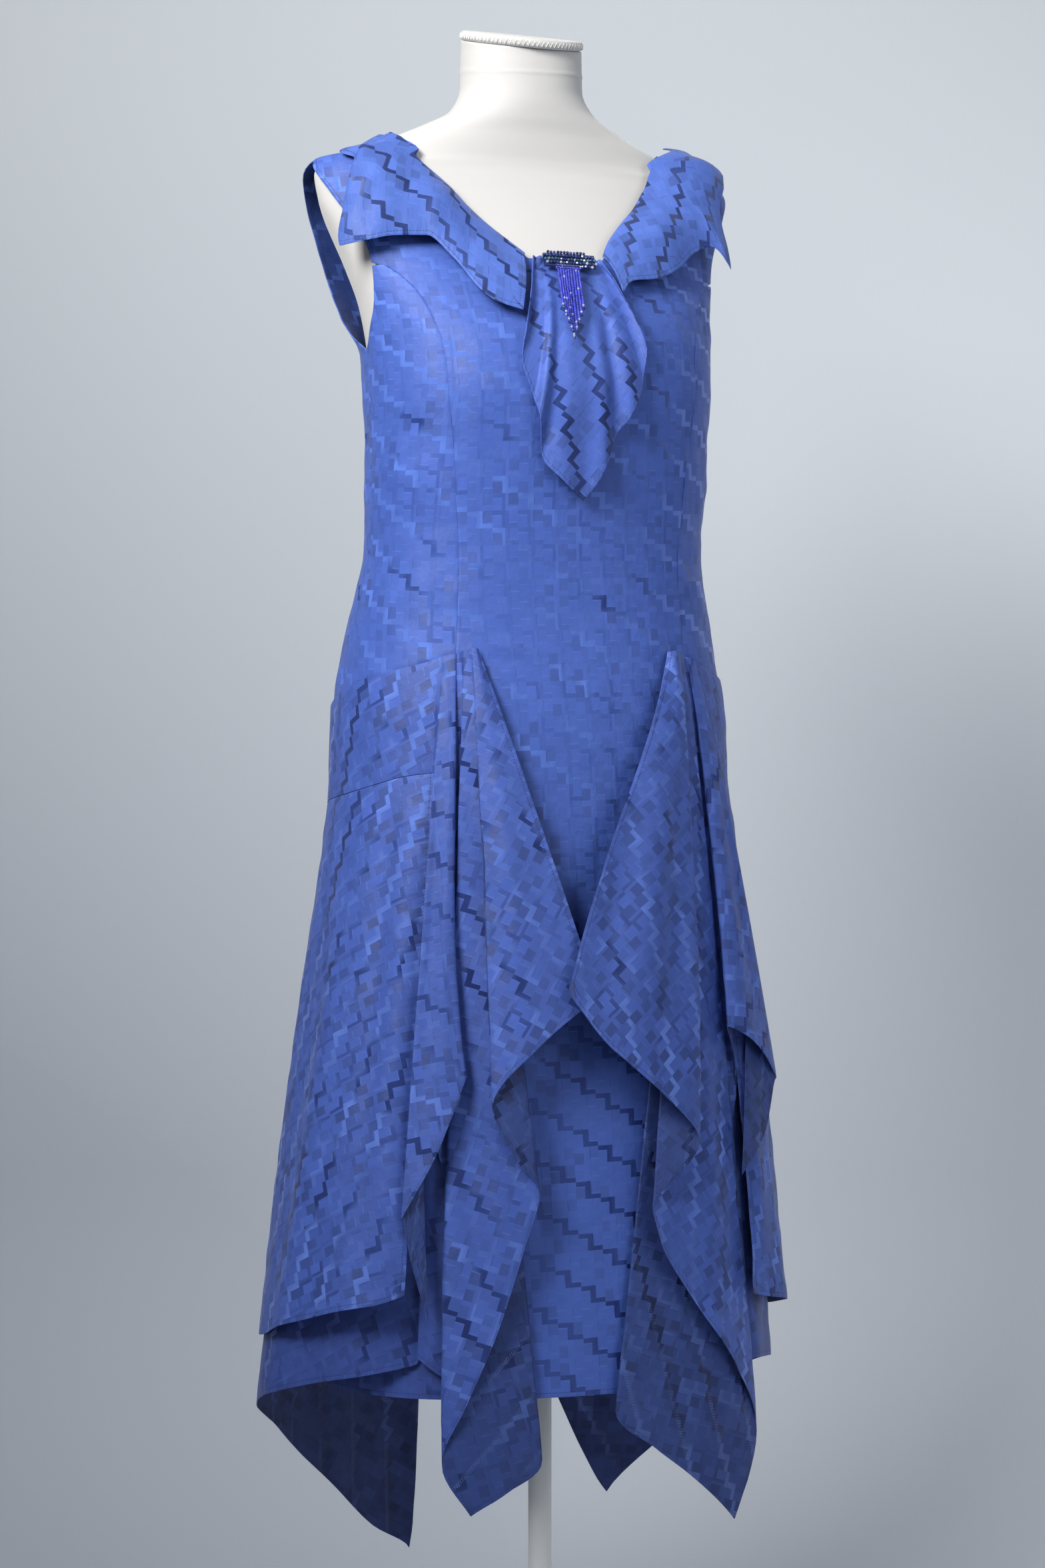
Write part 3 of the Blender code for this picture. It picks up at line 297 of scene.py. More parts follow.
def runLengths(points, axis):              # running length along the rows (1) or columns (0)
    steps = np.linalg.norm(np.diff(points, axis=axis), axis=-1)
    start = np.zeros_like(np.take(steps, [0], axis=axis))
    return np.concatenate([start, np.cumsum(steps, axis=axis)], axis=axis)


def hungPlace(side, seam, hem, sway, v):   # seam and hem are (angle, height, lift in mm)
    swing = hem[0] + sway * np.sin(np.pi * v)
    top = onSide(side, seam[0], seam[1], seam[2] * mm)
    foot = onSide(side, swing, hem[1], hem[2] * mm)
    straight = top + (foot - top) * v[..., None]
    lift = mix(seam[2], hem[2], v) * mm
    angle = side * mix(seam[0], swing, v)
    for _ in range(3):
        here = onBody(angle, straight[..., 2], lift)
        degree = onBody(angle + 1.0, straight[..., 2], lift) - here
        angle = angle + ((straight - here) * degree).sum(-1) / (degree ** 2).sum(-1)
    return angle, straight[..., 2], lift


def hungLines(rows, corners, seam, side):
    seamAngle, seamLift, sway = (alongLines(rows, k) for k in (1, 2, 3))
    hemAngle, hemLift = (alongLines(rows, k) for k in (4, 5))
    hemHeight = alongLines(rows, 6, corners)

    def place(u, v):
        u, v = np.broadcast_arrays(np.asarray(u, float), np.asarray(v, float))
        top = (seamAngle(u), seam(seamAngle(u)) - dress["seamGap"], seamLift(u))
        return hungPlace(side, top, (hemAngle(u), hemHeight(u), hemLift(u)), sway(u), v)

    return place


# Flat lay of a hanging sheet: each line keeps its length, and neighbours open like a fan
def flatLay(points, grain, sense=1.0):
    lengths = runLengths(points, 0)
    columns = lengths.shape[1]
    base = np.zeros((columns, 2))
    turn = np.zeros(columns)
    for i in range(1, columns):
        reach = min(lengths[-1, i - 1], lengths[-1, i])
        ends = []
        for k in (i - 1, i):
            ends.append([np.interp(reach, lengths[:, k], points[:, k, axis]) for axis in range(3)])
        low = math.dist(*ends)
        high = float(np.linalg.norm(points[0, i] - points[0, i - 1]))
        opening = (low - high) / reach
        turn[i] = turn[i - 1] + opening
        middle = turn[i - 1] + opening / 2
        base[i] = base[i - 1] + high * np.array([math.cos(middle), math.sin(middle)])
    across = base[None, :, 0] + lengths * np.sin(turn)[None, :]
    down = base[None, :, 1] - lengths * np.cos(turn)[None, :]
    return turned(np.stack([across * sense, down], axis=-1), grain)


def turned(flat, grain, offset=(0.0, 0.0)):
    cosine, sine = math.cos(math.radians(grain)), math.sin(math.radians(grain))
    x = flat[..., 0] * cosine - flat[..., 1] * sine + offset[0]
    y = flat[..., 0] * sine + flat[..., 1] * cosine + offset[1]
    return np.stack([x, y], axis=-1)


def hemLay(points, edges):                 # (run along the nearest hem, distance in from it)
    far = 0.2
    best = np.full(points.shape[:2], far)
    run = np.zeros(points.shape[:2])
    across = runLengths(points, 1)
    down = runLengths(points, 0)
    choices = {
        "low": (down[-1:] - down, across[-1:] + 0 * down),
        "high": (down, across[:1] + 0 * down),
        "first": (across, down[:, :1] + 0 * across),
        "last": (across[:, -1:] - across, down[:, -1:] + 0 * across),
    }
    for edge in edges:
        distance, along = choices[edge]
        nearer = distance < best
        best = np.where(nearer, distance, best)
        run = np.where(nearer, along, run)
    return np.stack([run, best], axis=-1)


def gridNormals(points):
    across = np.gradient(points, axis=1)
    down = np.gradient(points, axis=0)
    normals = np.cross(across, down)
    sizes = np.linalg.norm(normals, axis=-1, keepdims=True)
    return normals / np.maximum(sizes, 1e-12)


# Soft creases, each (u, v, u, v, width mm, depth mm) from one place on the sheet to another, and a
# faint unevenness. held is 0 along the edges that stay where they are.
def creased(points, flat, creases, ripple, outwardColumn=0, held=1.0):
    rows, columns = points.shape[:2]
    height = np.zeros((rows, columns))
    for uStart, vStart, uEnd, vEnd, width, depth in creases:
        ends = []
        for u, v in ((uStart, vStart), (uEnd, vEnd)):
            i = int(round(np.clip(u, 0, 1) * (columns - 1)))
            j = int(round(np.clip(v, 0, 1) * (rows - 1)))
            ends.append(flat[j, i])
        line = ends[1] - ends[0]
        size = float(line @ line) or 1e-9
        t = np.clip(((flat - ends[0]) @ line) / size, 0.0, 1.0)
        away = np.linalg.norm(flat - ends[0] - t[..., None] * line, axis=-1)
        soft = np.exp(-(away / (width * mm)) ** 2)
        height += depth * mm * soft * (0.25 + 0.75 * np.sin(np.pi * np.clip(t, 0.02, 0.98)))
    x, y = flat[..., 0], flat[..., 1]
    waves = np.sin(97 * x + 31 * y + 1.3) * np.sin(53 * y - 29 * x + 0.4)
    waves += 0.6 * np.sin(171 * x - 83 * y + 2.1) * np.sin(149 * y + 61 * x)
    height += ripple * mm * waves
    normals = gridNormals(points)
    sample = points[:, outwardColumn]
    away = np.stack([sample[:, 0], sample[:, 1] - sideLine(sample[:, 2])], axis=-1)
    if (normals[:, outwardColumn, :2] * away).sum() < 0:
        normals = -normals
    return points + normals * (height * held)[..., None]


# A new object that rides the root and takes the place of a node of the frame, where one is named
def addPiece(name, mesh, node=None):
    piece = bpy.data.objects.new(name, mesh)
    bpy.context.scene.collection.objects.link(piece)
    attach(piece, "root")
    if node:
        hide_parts(node)
    return piece


# One cloth object from patches that share edges, with its wall and its two faces. The cloth's outer
# face is the one that points away from the body on the patch numbered by reference.
def addCloth(node, patches, kind, fitted, reference=0):
    bm = bmesh.new()
    fabricMap = bm.loops.layers.uv.new("fabric")
    hemMap = bm.loops.layers.uv.new("hem")
    number = bm.faces.layers.int.new("patch")
    for k, part in enumerate(patches):
        points, flat, hem = part["points"], part["flat"], part["hem"]
        rows, columns = points.shape[:2]
        verts = [[bm.verts.new(points[j, i]) for i in range(columns)] for j in range(rows)]
        for j in range(rows - 1):
            for i in range(columns - 1):
                places = ((j, i), (j, i + 1), (j + 1, i + 1), (j + 1, i))
                face = bm.faces.new([verts[a][b] for a, b in places])
                face[number] = k
                face.smooth = True
                for loop, (a, b) in zip(face.loops, places):
                    loop[fabricMap].uv = flat[a, b]
                    loop[hemMap].uv = hem[a, b]
    bmesh.ops.remove_doubles(bm, verts=bm.verts, dist=0.02 * mm)
    bmesh.ops.recalc_face_normals(bm, faces=bm.faces)
    bm.normal_update()
    facing = 0.0
    for face in bm.faces:
        if face[number] == reference:
            centre = face.calc_center_median()
            away = Vector((centre.x, centre.y - float(sideLine(centre.z)), 0.0))
            facing += face.normal.dot(away) * face.calc_area()
    if facing < 0:
        bmesh.ops.reverse_faces(bm, faces=bm.faces)
    mesh = bpy.data.meshes.new(f"cloth_{node}")
    bm.to_mesh(mesh)
    bm.free()
    for material in satin[kind]:
        mesh.materials.append(material)
    piece = addPiece(f"cloth_{node}", mesh, node)
    solid = piece.modifiers.new("wall", "SOLIDIFY")
    solid.thickness = dress["panelWall"] if fitted else dress["drapeWall"]
    solid.offset = -1.0 if fitted else 0.0
    solid.material_offset = 1
    shading = piece.modifiers.new("even shading to the edges", "WEIGHTED_NORMAL")
    shading.weight = 50
    return piece


def patch(points, flat, edges):
    return {"points": points, "flat": flat, "hem": hemLay(points, edges)}


def creasedPatch(points, flat, edges, look, outwardColumn, held=1.0, creases=None):
    cut = creased(points, flat, creases or look["creases"], look["ripple"], outwardColumn, held)
    return {**patch(points, flat, edges), "points": cut}


# Shader node helpers. A new node goes into the tree of the first socket among its values.
def newNode(kind, values, places=None, **settings):
    tree = next(value.id_data for value in values if isinstance(value, bpy.types.NodeSocket))
    node = tree.nodes.new("ShaderNode" + kind)
    for name, setting in settings.items():
        setattr(node, name, setting)
    for place, value in zip(places or range(len(values)), values):
        feed(node.inputs[place], value)
    return node


def feed(socket, value):
    if isinstance(value, bpy.types.NodeSocket):
        socket.id_data.links.new(value, socket)
    else:
        socket.default_value = value


def maths(operation, *values, clamp=False):
    return newNode("Math", values, operation=operation, use_clamp=clamp).outputs[0]


def times(a, b, clamp=False):
    return maths("MULTIPLY", a, b, clamp=clamp)


def plus(a, b, clamp=False):
    return maths("ADD", a, b, clamp=clamp)


def minus(a, b, clamp=False):
    return maths("SUBTRACT", a, b, clamp=clamp)


def over(a, b):
    return maths("DIVIDE", a, b)


def line(value, slope, start, clamp=False):
    return maths("MULTIPLY_ADD", value, slope, start, clamp=clamp)


def above(value, limit):
    return maths("GREATER_THAN", value, limit)


def below(value, limit):
    return maths("LESS_THAN", value, limit)


def band(value, low, high):                # 1 between low and high
    return times(above(value, low), below(value, high))


def blend(factor, first, second):
    return newNode("Mix", (factor, first, second), (0, 6, 7), data_type="RGBA").outputs[2]


def noise(vector, scale, detail=2.0, rough=0.5):
    places = ("Vector", "Scale", "Detail", "Roughness")
    return newNode("TexNoise", (vector, scale, detail, rough), places).outputs["Fac"]


def stretchedNoise(vector, sizes, detail=2.0, rough=0.5):
    return noise(scaled(vector, sizes), 1.0, detail, rough)


def scaled(vector, sizes):
    return newNode("Mapping", (vector, sizes), ("Vector", "Scale")).outputs[0]


def apart(vector):
    return newNode("SeparateXYZ", (vector,)).outputs


def together(x, y, z):
    return newNode("CombineXYZ", (x, y, z)).outputs[0]


def bump(height, strength, distance, normal=None):
    node = newNode("Bump", (height, strength, distance), ("Height", "Strength", "Distance"))
    if normal is not None:
        feed(node.inputs["Normal"], normal)
    return node.outputs[0]


def useGroup(group, label, value):
    return newNode("Group", (value,), (label,), node_tree=group).outputs


def objectPlace(tree):
    return tree.nodes.new("ShaderNodeTexCoord").outputs["Object"]


def flatPlace(tree, layer):
    node = tree.nodes.new("ShaderNodeUVMap")
    node.uv_map = layer
    return node.outputs[0]


def opaque(colour, factor=1.0, extra=0.0):
    return (*(min(c * factor + extra, 1.0) for c in colour), 1.0)


def newGroup(name, given, made):           # one vector in, numbers and colours out
    tree = bpy.data.node_groups.new(name, "ShaderNodeTree")
    tree.interface.new_socket(name=given, in_out="INPUT", socket_type="NodeSocketVector")
    for label, kind in made.items():
        tree.interface.new_socket(name=label, in_out="OUTPUT", socket_type=f"NodeSocket{kind}")
    source = tree.nodes.new("NodeGroupInput")
    sink = tree.nodes.new("NodeGroupOutput")
    return tree, source.outputs[0], sink.inputs


# Stepped zigzag weave: cells with a Z-shaped bar, every third row of them strong. The cell and the
# wobble are in millimetres, the parts of a bar and its steps in shares of the cell.
weave = {
    "column": 23.2, "row": 15.6, "barTop": 0.27, "barFoot": 0.73, "postLeft": 0.37, "postRight": 0.61,
    "besideStep": 0.045, "underStep": 0.07, "wobble": (1.6, -1.2), "lean": 0.10, "sway": 0.07,
}


def makeStepWeave():
    kinds = {"Strong": "Float", "Faint": "Float", "Block": "Float", "Thread": "Float", "Tilt": "Color",
             "Line": "Float"}
    tree, fabric, made = newGroup("step weave", "Fabric", kinds)
    wobble = stretchedNoise(fabric, (60.0, 60.0, 1.0), 1.0)
    x, y, _ = apart(scaled(fabric, inMillimetres))
    cellX = over(plus(x, times(wobble, weave["wobble"][0])), weave["column"])
    cellY = over(plus(y, times(wobble, weave["wobble"][1])), -weave["row"])
    across = maths("FLOOR", cellX)
    down = maths("FLOOR", cellY)
    partX = minus(cellX, across)
    partY = minus(cellY, down)
    kind = maths("FLOORED_MODULO", minus(down, across), 3.0)
    postLeft, postRight = weave["postLeft"], weave["postRight"]
    barTop, barFoot = weave["barTop"], weave["barFoot"]

    top = times(band(partX, -1.0, postRight), band(partY, -1.0, barTop))
    post = band(partX, postLeft, postRight)
    foot = times(band(partX, postLeft, 2.0), band(partY, barFoot, 2.0))
    bar = maths("MAXIMUM", maths("MAXIMUM", top, post), foot)
    shown = line(stretchedNoise(fabric, (9.0, 9.0, 1.0)), 2.4, -0.55, clamp=True)
    strong = times(bar, below(kind, 0.5))
    faint = times(bar, above(kind, 0.5))
    right = above(partX, (postLeft + postRight) / 2)
    tone = newNode("TexWhiteNoise", (together(across, down, right),)).outputs["Value"]
    uneven = times(shown, line(tone, 1.5, -0.35, clamp=True))
    signed = times(minus(tone, 0.42), minus(1.0, bar))
    feed(made["Strong"], times(strong, line(shown, 0.75, 0.25)))
    feed(made["Faint"], times(faint, uneven))
    feed(made["Block"], times(signed, line(shown, 0.85, 0.15)))

    weft = stretchedNoise(fabric, (420.0, 2100.0, 1.0), 2.0, 0.6)
    warp = stretchedNoise(fabric, (2300.0, 500.0, 1.0), 1.0, 0.6)
    feed(made["Thread"], blend(bar, weft, warp))

    # strong bars and blocks lean by different amounts, so they catch the light differently
    lean = plus(times(strong, weave["lean"]), times(minus(tone, 0.5), weave["sway"]))
    feed(made["Tilt"], together(plus(0.5, lean), plus(0.5, times(lean, -1.0)), 1.0))

    # the step from one weave face to the next: dark beside a post, pale under a bar and over a foot
    beside = times(band(partX, postRight, postRight + weave["besideStep"]), band(partY, 0.06, barFoot))
    under = times(band(partY, barTop, barTop + weave["underStep"]), band(partX, -1.0, postLeft))
    upon = times(band(partY, barFoot - weave["underStep"], barFoot), band(partX, postRight, 2.0))
    patchy = line(stretchedNoise(fabric, (31.0, 31.0, 1.0)), 3.0, -1.0, clamp=True)
    feed(made["Line"], times(minus(plus(under, upon), beside), patchy))
    return tree


# Narrow turned hem with a row of stitches, from the run along it and the distance in, in millimetres
hemSizes = {
    "inset": 4.0, "pitch": 3.0, "stitchShare": 0.62, "halfThread": 0.45,
    "puckerReach": 14.0, "puckerTurn": 0.9,
}


def makeHemLine():
    tree, hem, made = newGroup("hem line", "Hem", {"Stitch": "Float", "Fold": "Float", "Pucker": "Float"})
    run, inward, _ = apart(scaled(hem, inMillimetres))
    onLine = below(maths("ABSOLUTE", minus(inward, hemSizes["inset"])), hemSizes["halfThread"])
    dash = below(maths("FRACT", over(run, hemSizes["pitch"])), hemSizes["stitchShare"])
    feed(made["Stitch"], times(onLine, dash))
    fold = minus(1.0, over(inward, hemSizes["inset"]), clamp=True)
    feed(made["Fold"], maths("POWER", fold, 0.5))
    near = minus(1.0, over(inward, hemSizes["puckerReach"]), clamp=True)
    feed(made["Pucker"], times(maths("SINE", times(run, hemSizes["puckerTurn"])), near))
    return tree


stepWeave = makeStepWeave()
hemLine = makeHemLine()


def newMaterial(name, roughness, sheen=0.0, specular=0.5):
    material = bpy.data.materials.new(name)
    material.use_nodes = True
    tree = material.node_tree
    shader = tree.nodes["Principled BSDF"]
    shader.inputs["Roughness"].default_value = roughness
    shader.inputs["Sheen Weight"].default_value = sheen
    shader.inputs["Specular IOR Level"].default_value = specular
    return material, tree, shader


# The bars carry painted sheen: the higher the sheen value, the more of the strong bars are painted pale;
# below the given height they turn dark, painted shade lower on the body
satinLooks = {
    "panel": {"ground": (0.056, 0.112, 0.425), "pale": (0.130, 0.245, 0.790), "dark": (0.018, 0.036, 0.190),
              "strong": 0.85, "faint": 0.22, "block": 0.40, "paintedSheen": 0.44, "paintedShadeBelow": 0.80},
    "drape": {"ground": (0.050, 0.097, 0.375), "pale": (0.145, 0.255, 0.780), "dark": (0.012, 0.024, 0.130),
              "strong": 0.95, "faint": 0.62, "block": 0.62, "paintedSheen": 0.0, "paintedShadeBelow": 0.0},
    # painted shade: the under pieces are darker copies of the same satin, for the shade beneath the drapes
    # and tiers
    "under": {"ground": (0.037, 0.071, 0.285), "pale": (0.085, 0.152, 0.550), "dark": (0.010, 0.018, 0.100),
              "strong": 0.80, "faint": 0.45, "block": 0.50, "paintedSheen": -0.1, "paintedShadeBelow": 0.0},
    "collar": {"ground": (0.062, 0.122, 0.430), "pale": (0.135, 0.240, 0.720), "dark": (0.008, 0.016, 0.085),
               "strong": 0.92, "faint": 0.14, "block": 0.40, "paintedSheen": -0.9, "paintedShadeBelow": 0.0},
    "jabot": {"ground": (0.060, 0.116, 0.430), "pale": (0.120, 0.210, 0.690), "dark": (0.008, 0.016, 0.090),
              "strong": 0.85, "faint": 0.18, "block": 0.42, "paintedSheen": -0.8, "paintedShadeBelow": 0.0},
}


satinShared = {
    "roughness": 0.44, "sheen": 0.08, "specular": 0.30, "sheenRoughness": 0.35,
    "wrongSide": 0.55,                # brightness of the inner face
    "lighter": (1.40, 0.004),         # factor and addition
    "darker": 0.60,
    # painted sheen: random patches, the height rate and its share set how pale or dark the bars are painted;
    # below the given height the bars get painted shade
    "clouds": (9.0, -4.0),            # patches of pale and dark bars
    "rise": 6.0,
    "riseShare": 2.2,
    "blocks": (2.6, -2.2),
    "lines": (0.28, -0.38),
    "hatch": (-0.34, 0.35),
    "floats": (0.55, (0.16, 0.24, 0.62, 1.0)),
    "stitches": (0.55, (0.012, 0.022, 0.12, 1.0)),
    "gloss": (-0.08, 0.46),           # roughness, lower on the strong bars
    "threadGloss": 0.12,
    "relief": {"Thread": 0.10, "Fold": 0.22, "Pucker": 0.10, "Stitch": -0.25, "crinkle": 0.55},
}


def makeSatin(name, look, wrongSide=False):
    shared = satinShared
    material, tree, shader = newMaterial(name, shared["roughness"], shared["sheen"], shared["specular"])
    shader.inputs["Sheen Roughness"].default_value = shared["sheenRoughness"]
    fabric = flatPlace(tree, "fabric")
    cloth = useGroup(stepWeave, "Fabric", fabric)
    edge = useGroup(hemLine, "Hem", flatPlace(tree, "hem"))
    dull = shared["wrongSide"] if wrongSide else 1.0
    ground, pale, dark = (opaque(look[tone], dull) for tone in ("ground", "pale", "dark"))
    lighter = opaque(ground[:3], *shared["lighter"])
    darker = opaque(ground[:3], shared["darker"])
    # painted sheen and shade on the bars: dark below the given height, capped by the piece's sheen value,
    # with random patches
    paintedSheenByHeight = times(minus(apart(objectPlace(tree))[2], look["paintedShadeBelow"]), shared["rise"])
    paintedSheenByHeight = maths("MINIMUM", maths("MAXIMUM", paintedSheenByHeight, -1.0), look["paintedSheen"])
    cloudy = stretchedNoise(fabric, (13.0, 13.0, 1.0))
    paintedSheen = plus(line(cloudy, *shared["clouds"]), times(paintedSheenByHeight, shared["riseShare"]), clamp=True)
    blocks = times(cloth["Block"], look["block"] * shared["blocks"][0])
    colour = blend(maths("MAXIMUM", blocks, 0.0), ground, lighter)
    colour = blend(times(maths("MINIMUM", blocks, 0.0), shared["blocks"][1]), colour, darker)
    # the faint and strong bars take the painted sheen in opposite tones
    colour = blend(times(cloth["Faint"], look["faint"]), colour, blend(paintedSheen, pale, dark))
    colour = blend(times(cloth["Strong"], look["strong"]), colour, blend(paintedSheen, dark, pale))
    for share, tone in zip(shared["lines"], (pale, dark)):
        colour = blend(times(cloth["Line"], share, clamp=True), colour, tone)
    hatch = line(cloth["Thread"], 1.0, shared["hatch"][0], clamp=True)
    colour = blend(times(hatch, shared["hatch"][1]), colour, lighter)
    if wrongSide:
        colour = blend(times(floatRows(fabric), shared["floats"][0]), colour, shared["floats"][1])
    colour = blend(times(edge["Stitch"], shared["stitches"][0]), colour, shared["stitches"][1])
    feed(shader.inputs["Base Color"], colour)
    gloss = line(cloth["Strong"], *shared["gloss"])
    feed(shader.inputs["Roughness"], line(cloth["Thread"], shared["threadGloss"], gloss))
    lean = newNode("NormalMap", (cloth["Tilt"],), ("Color",), uv_map="fabric").outputs[0]
    depths = shared["relief"]
    relief = times(cloth["Thread"], depths["Thread"])
    for label in ("Fold", "Pucker", "Stitch"):
        relief = plus(relief, times(edge[label], depths[label]))
    crinkle = stretchedNoise(fabric, (120.0, 90.0, 1.0), 3.0, 0.55)
    relief = plus(relief, times(crinkle, depths["crinkle"]))
    feed(shader.inputs["Normal"], bump(relief, 1.0, 1.0 * mm, lean))
    return material


def floatRows(fabric):                     # rows of pale floating threads on the wrong side
    x, y, _ = apart(scaled(fabric, inMillimetres))
    slanted = line(x, weave["row"] / weave["column"], y)
    row = maths("FRACT", over(slanted, 3 * weave["row"]))
    dot = below(maths("FRACT", over(x, 2.1)), 0.5)
    gap = below(maths("FRACT", over(slanted, 1.56)), 0.55)
    dotted = times(below(row, 0.10), times(dot, gap))
    patchy = stretchedNoise(fabric, (14.0, 14.0, 1.0), 1.0)
    return times(dotted, line(patchy, 3.0, -1.0, clamp=True))


satin = {}
for kind, look in satinLooks.items():
    satin[kind] = [makeSatin(f"satin {kind}", look), makeSatin(f"satin {kind} wrong side", look, True)]
print("satin made:", len(satin), "cloths")


# Fitted panels
def laidFlat(angle, height, frontSide=True):
    heights = np.linspace(bodyRings[0][0], bodyRings[-1][0], 400)
    depth = frontDepth(heights) if frontSide else backDepth(heights)
    rises = np.hypot(np.diff(heights), np.diff(depth))
    run = np.concatenate([[0.0], np.cumsum(rises)])
    across = arcFromFront(np.abs(angle), height) * np.sign(angle)
    return np.stack([across, np.interp(height, heights, run)], axis=-1)


def seamLevels(low, high):
    count = max(2, int(round((high - low) / dress["step"])))
    return np.linspace(low, high, count + 1)


frontCentre = {
    "across": 26,                # squares from the princess seam to the neck corner
    "middle": 14,
    "strapRows": 30,
    "grain": -2.0,
    "ripple": 0.35,
    # u from the wearer's right edge to the left one, v down from the neckline
    "creases": [
        (0.16, 0.345, 0.40, 0.352, 7.0, 1.3),
        (0.14, 0.352, 0.30, 0.362, 5.0, -1.0),
        (0.80, 0.345, 0.66, 0.350, 6.0, 1.0),
        (0.20, 0.30, 0.46, 0.33, 14.0, -1.0),
        (0.30, 0.27, 0.62, 0.285, 12.0, -0.8),
        (0.25, 0.10, 0.40, 0.22, 16.0, 0.9),
        (0.72, 0.08, 0.62, 0.20, 15.0, 0.8),
        (0.38, 0.55, 0.36, 0.98, 20.0, -1.4),
        (0.58, 0.60, 0.60, 0.99, 22.0, 1.2),
        (0.48, 0.72, 0.50, 0.99, 16.0, 0.9),
    ],
}


def makeFrontCentre():
    look = frontCentre
    shoulder = sideSeam - dress["shoulderGapAngle"]

    def outer(height):
        low = princessAngle(height) - dress["seamGapAngle"]
        high = np.minimum(armholeFront(height) - dress["seamGapAngle"], shoulder)
        return np.where(height <= dress["princessTop"], low, high)

    heights = seamLevels(dress["kneeHem"], dress["neckBottom"])[::-1]
    edge = outer(heights)[:, None]
    inner = dress["neckBottomAngle"]
    u = sharesAcross(look["across"])
    middle = np.linspace(-inner, inner, look["middle"] + 1)[None, 1:-1] + 0 * edge
    angles = np.concatenate([mix(-edge, -inner, u), middle, mix(inner, edge, u)], axis=1)
    height = heights[:, None] + 0 * angles
    flat = turned(laidFlat(angles, height), look["grain"])
    points = onBody(angles, height)
    held = ramp(runLengths(points, 0), 0.0, 0.012)
    patches = [creasedPatch(points, flat, ["low"], look, len(angles[0]) // 2, held)]

    share = sharesDown(look["strapRows"]) ** 0.8
    armHeight = mix(dress["neckBottom"], dress["shoulderTip"], share)
    neckHeight = mix(dress["neckBottom"], dress["shoulderNeck"], share)
    angle = mix(outer(armHeight), np.minimum(neckFront(neckHeight), shoulder), u)
    height = mix(armHeight, neckHeight, u)
    for side in sides.values():
        points = onSide(side, angle, height)
        flat = turned(laidFlat(side * angle, height), look["grain"])
        patches.append(patch(points, flat, ["first", "last"]))
    piece = addCloth("front_centre", patches, "panel", True)


sideFront = {
    "across": 24,
    "grain": -3.0,
    "offset": (0.013, 0.021),
    "ripple": 0.4,
    "creases": [
        (0.15, 0.55, 0.95, 0.50, 13.0, 1.4),
        (0.10, 0.66, 0.90, 0.62, 10.0, -1.2),
        (0.30, 0.42, 0.98, 0.36, 12.0, -1.0),
        (0.05, 0.80, 0.70, 0.86, 16.0, 1.0),
        (0.50, 0.12, 0.98, 0.20, 12.0, 1.1),
        (0.25, 0.95, 0.60, 0.80, 9.0, -0.9),
    ],
}


def makeSideFront(side, label):
    u = sharesAcross(sideFront["across"])
    foot = hipSeam(mix(dress["princessHipAngle"], sideSeam, u)) + dress["seamGap"] / 2
    rows = seamLevels(float(hipSeam(dress["princessHipAngle"])), dress["underarm"])
    lower = mix(foot, dress["underarm"], sharesDown(len(rows) - 1))
    upper = seamLevels(dress["underarm"], dress["princessTop"])[1:, None] + 0 * u
    height = np.concatenate([lower, upper])[::-1]
    edge = np.minimum(armholeFront(np.maximum(height, dress["underarm"])), sideSeam) - dress["seamGapAngle"]
    angle = mix(princessAngle(height) + dress["seamGapAngle"], edge, u)
    points = onSide(side, angle, height)
    flat = turned(laidFlat(side * angle, height), sideFront["grain"] * side, sideFront["offset"])
    piece = addCloth(f"side_front_{label}", [creasedPatch(points, flat, [], sideFront, 4)], "panel", True)


bodiceBack = {
    "columns": 44,
    "shoulderShare": 3 / 8,      # of the columns, from the armhole to the neck
    "grain": 2.0,
    "offset": (0.007, 0.009),
    "ripple": 0.4,
    "creases": [
        (0.10, 0.62, 0.80, 0.66, 14.0, 1.3),
        (0.20, 0.72, 0.95, 0.75, 12.0, -1.2),
        (0.05, 0.50, 0.55, 0.58, 12.0, -1.0),
        (0.30, 0.86, 0.90, 0.90, 16.0, 1.1),
        (0.55, 0.30, 0.90, 0.52, 18.0, 1.0),
        (0.25, 0.20, 0.45, 0.45, 15.0, -0.9),
    ],
}


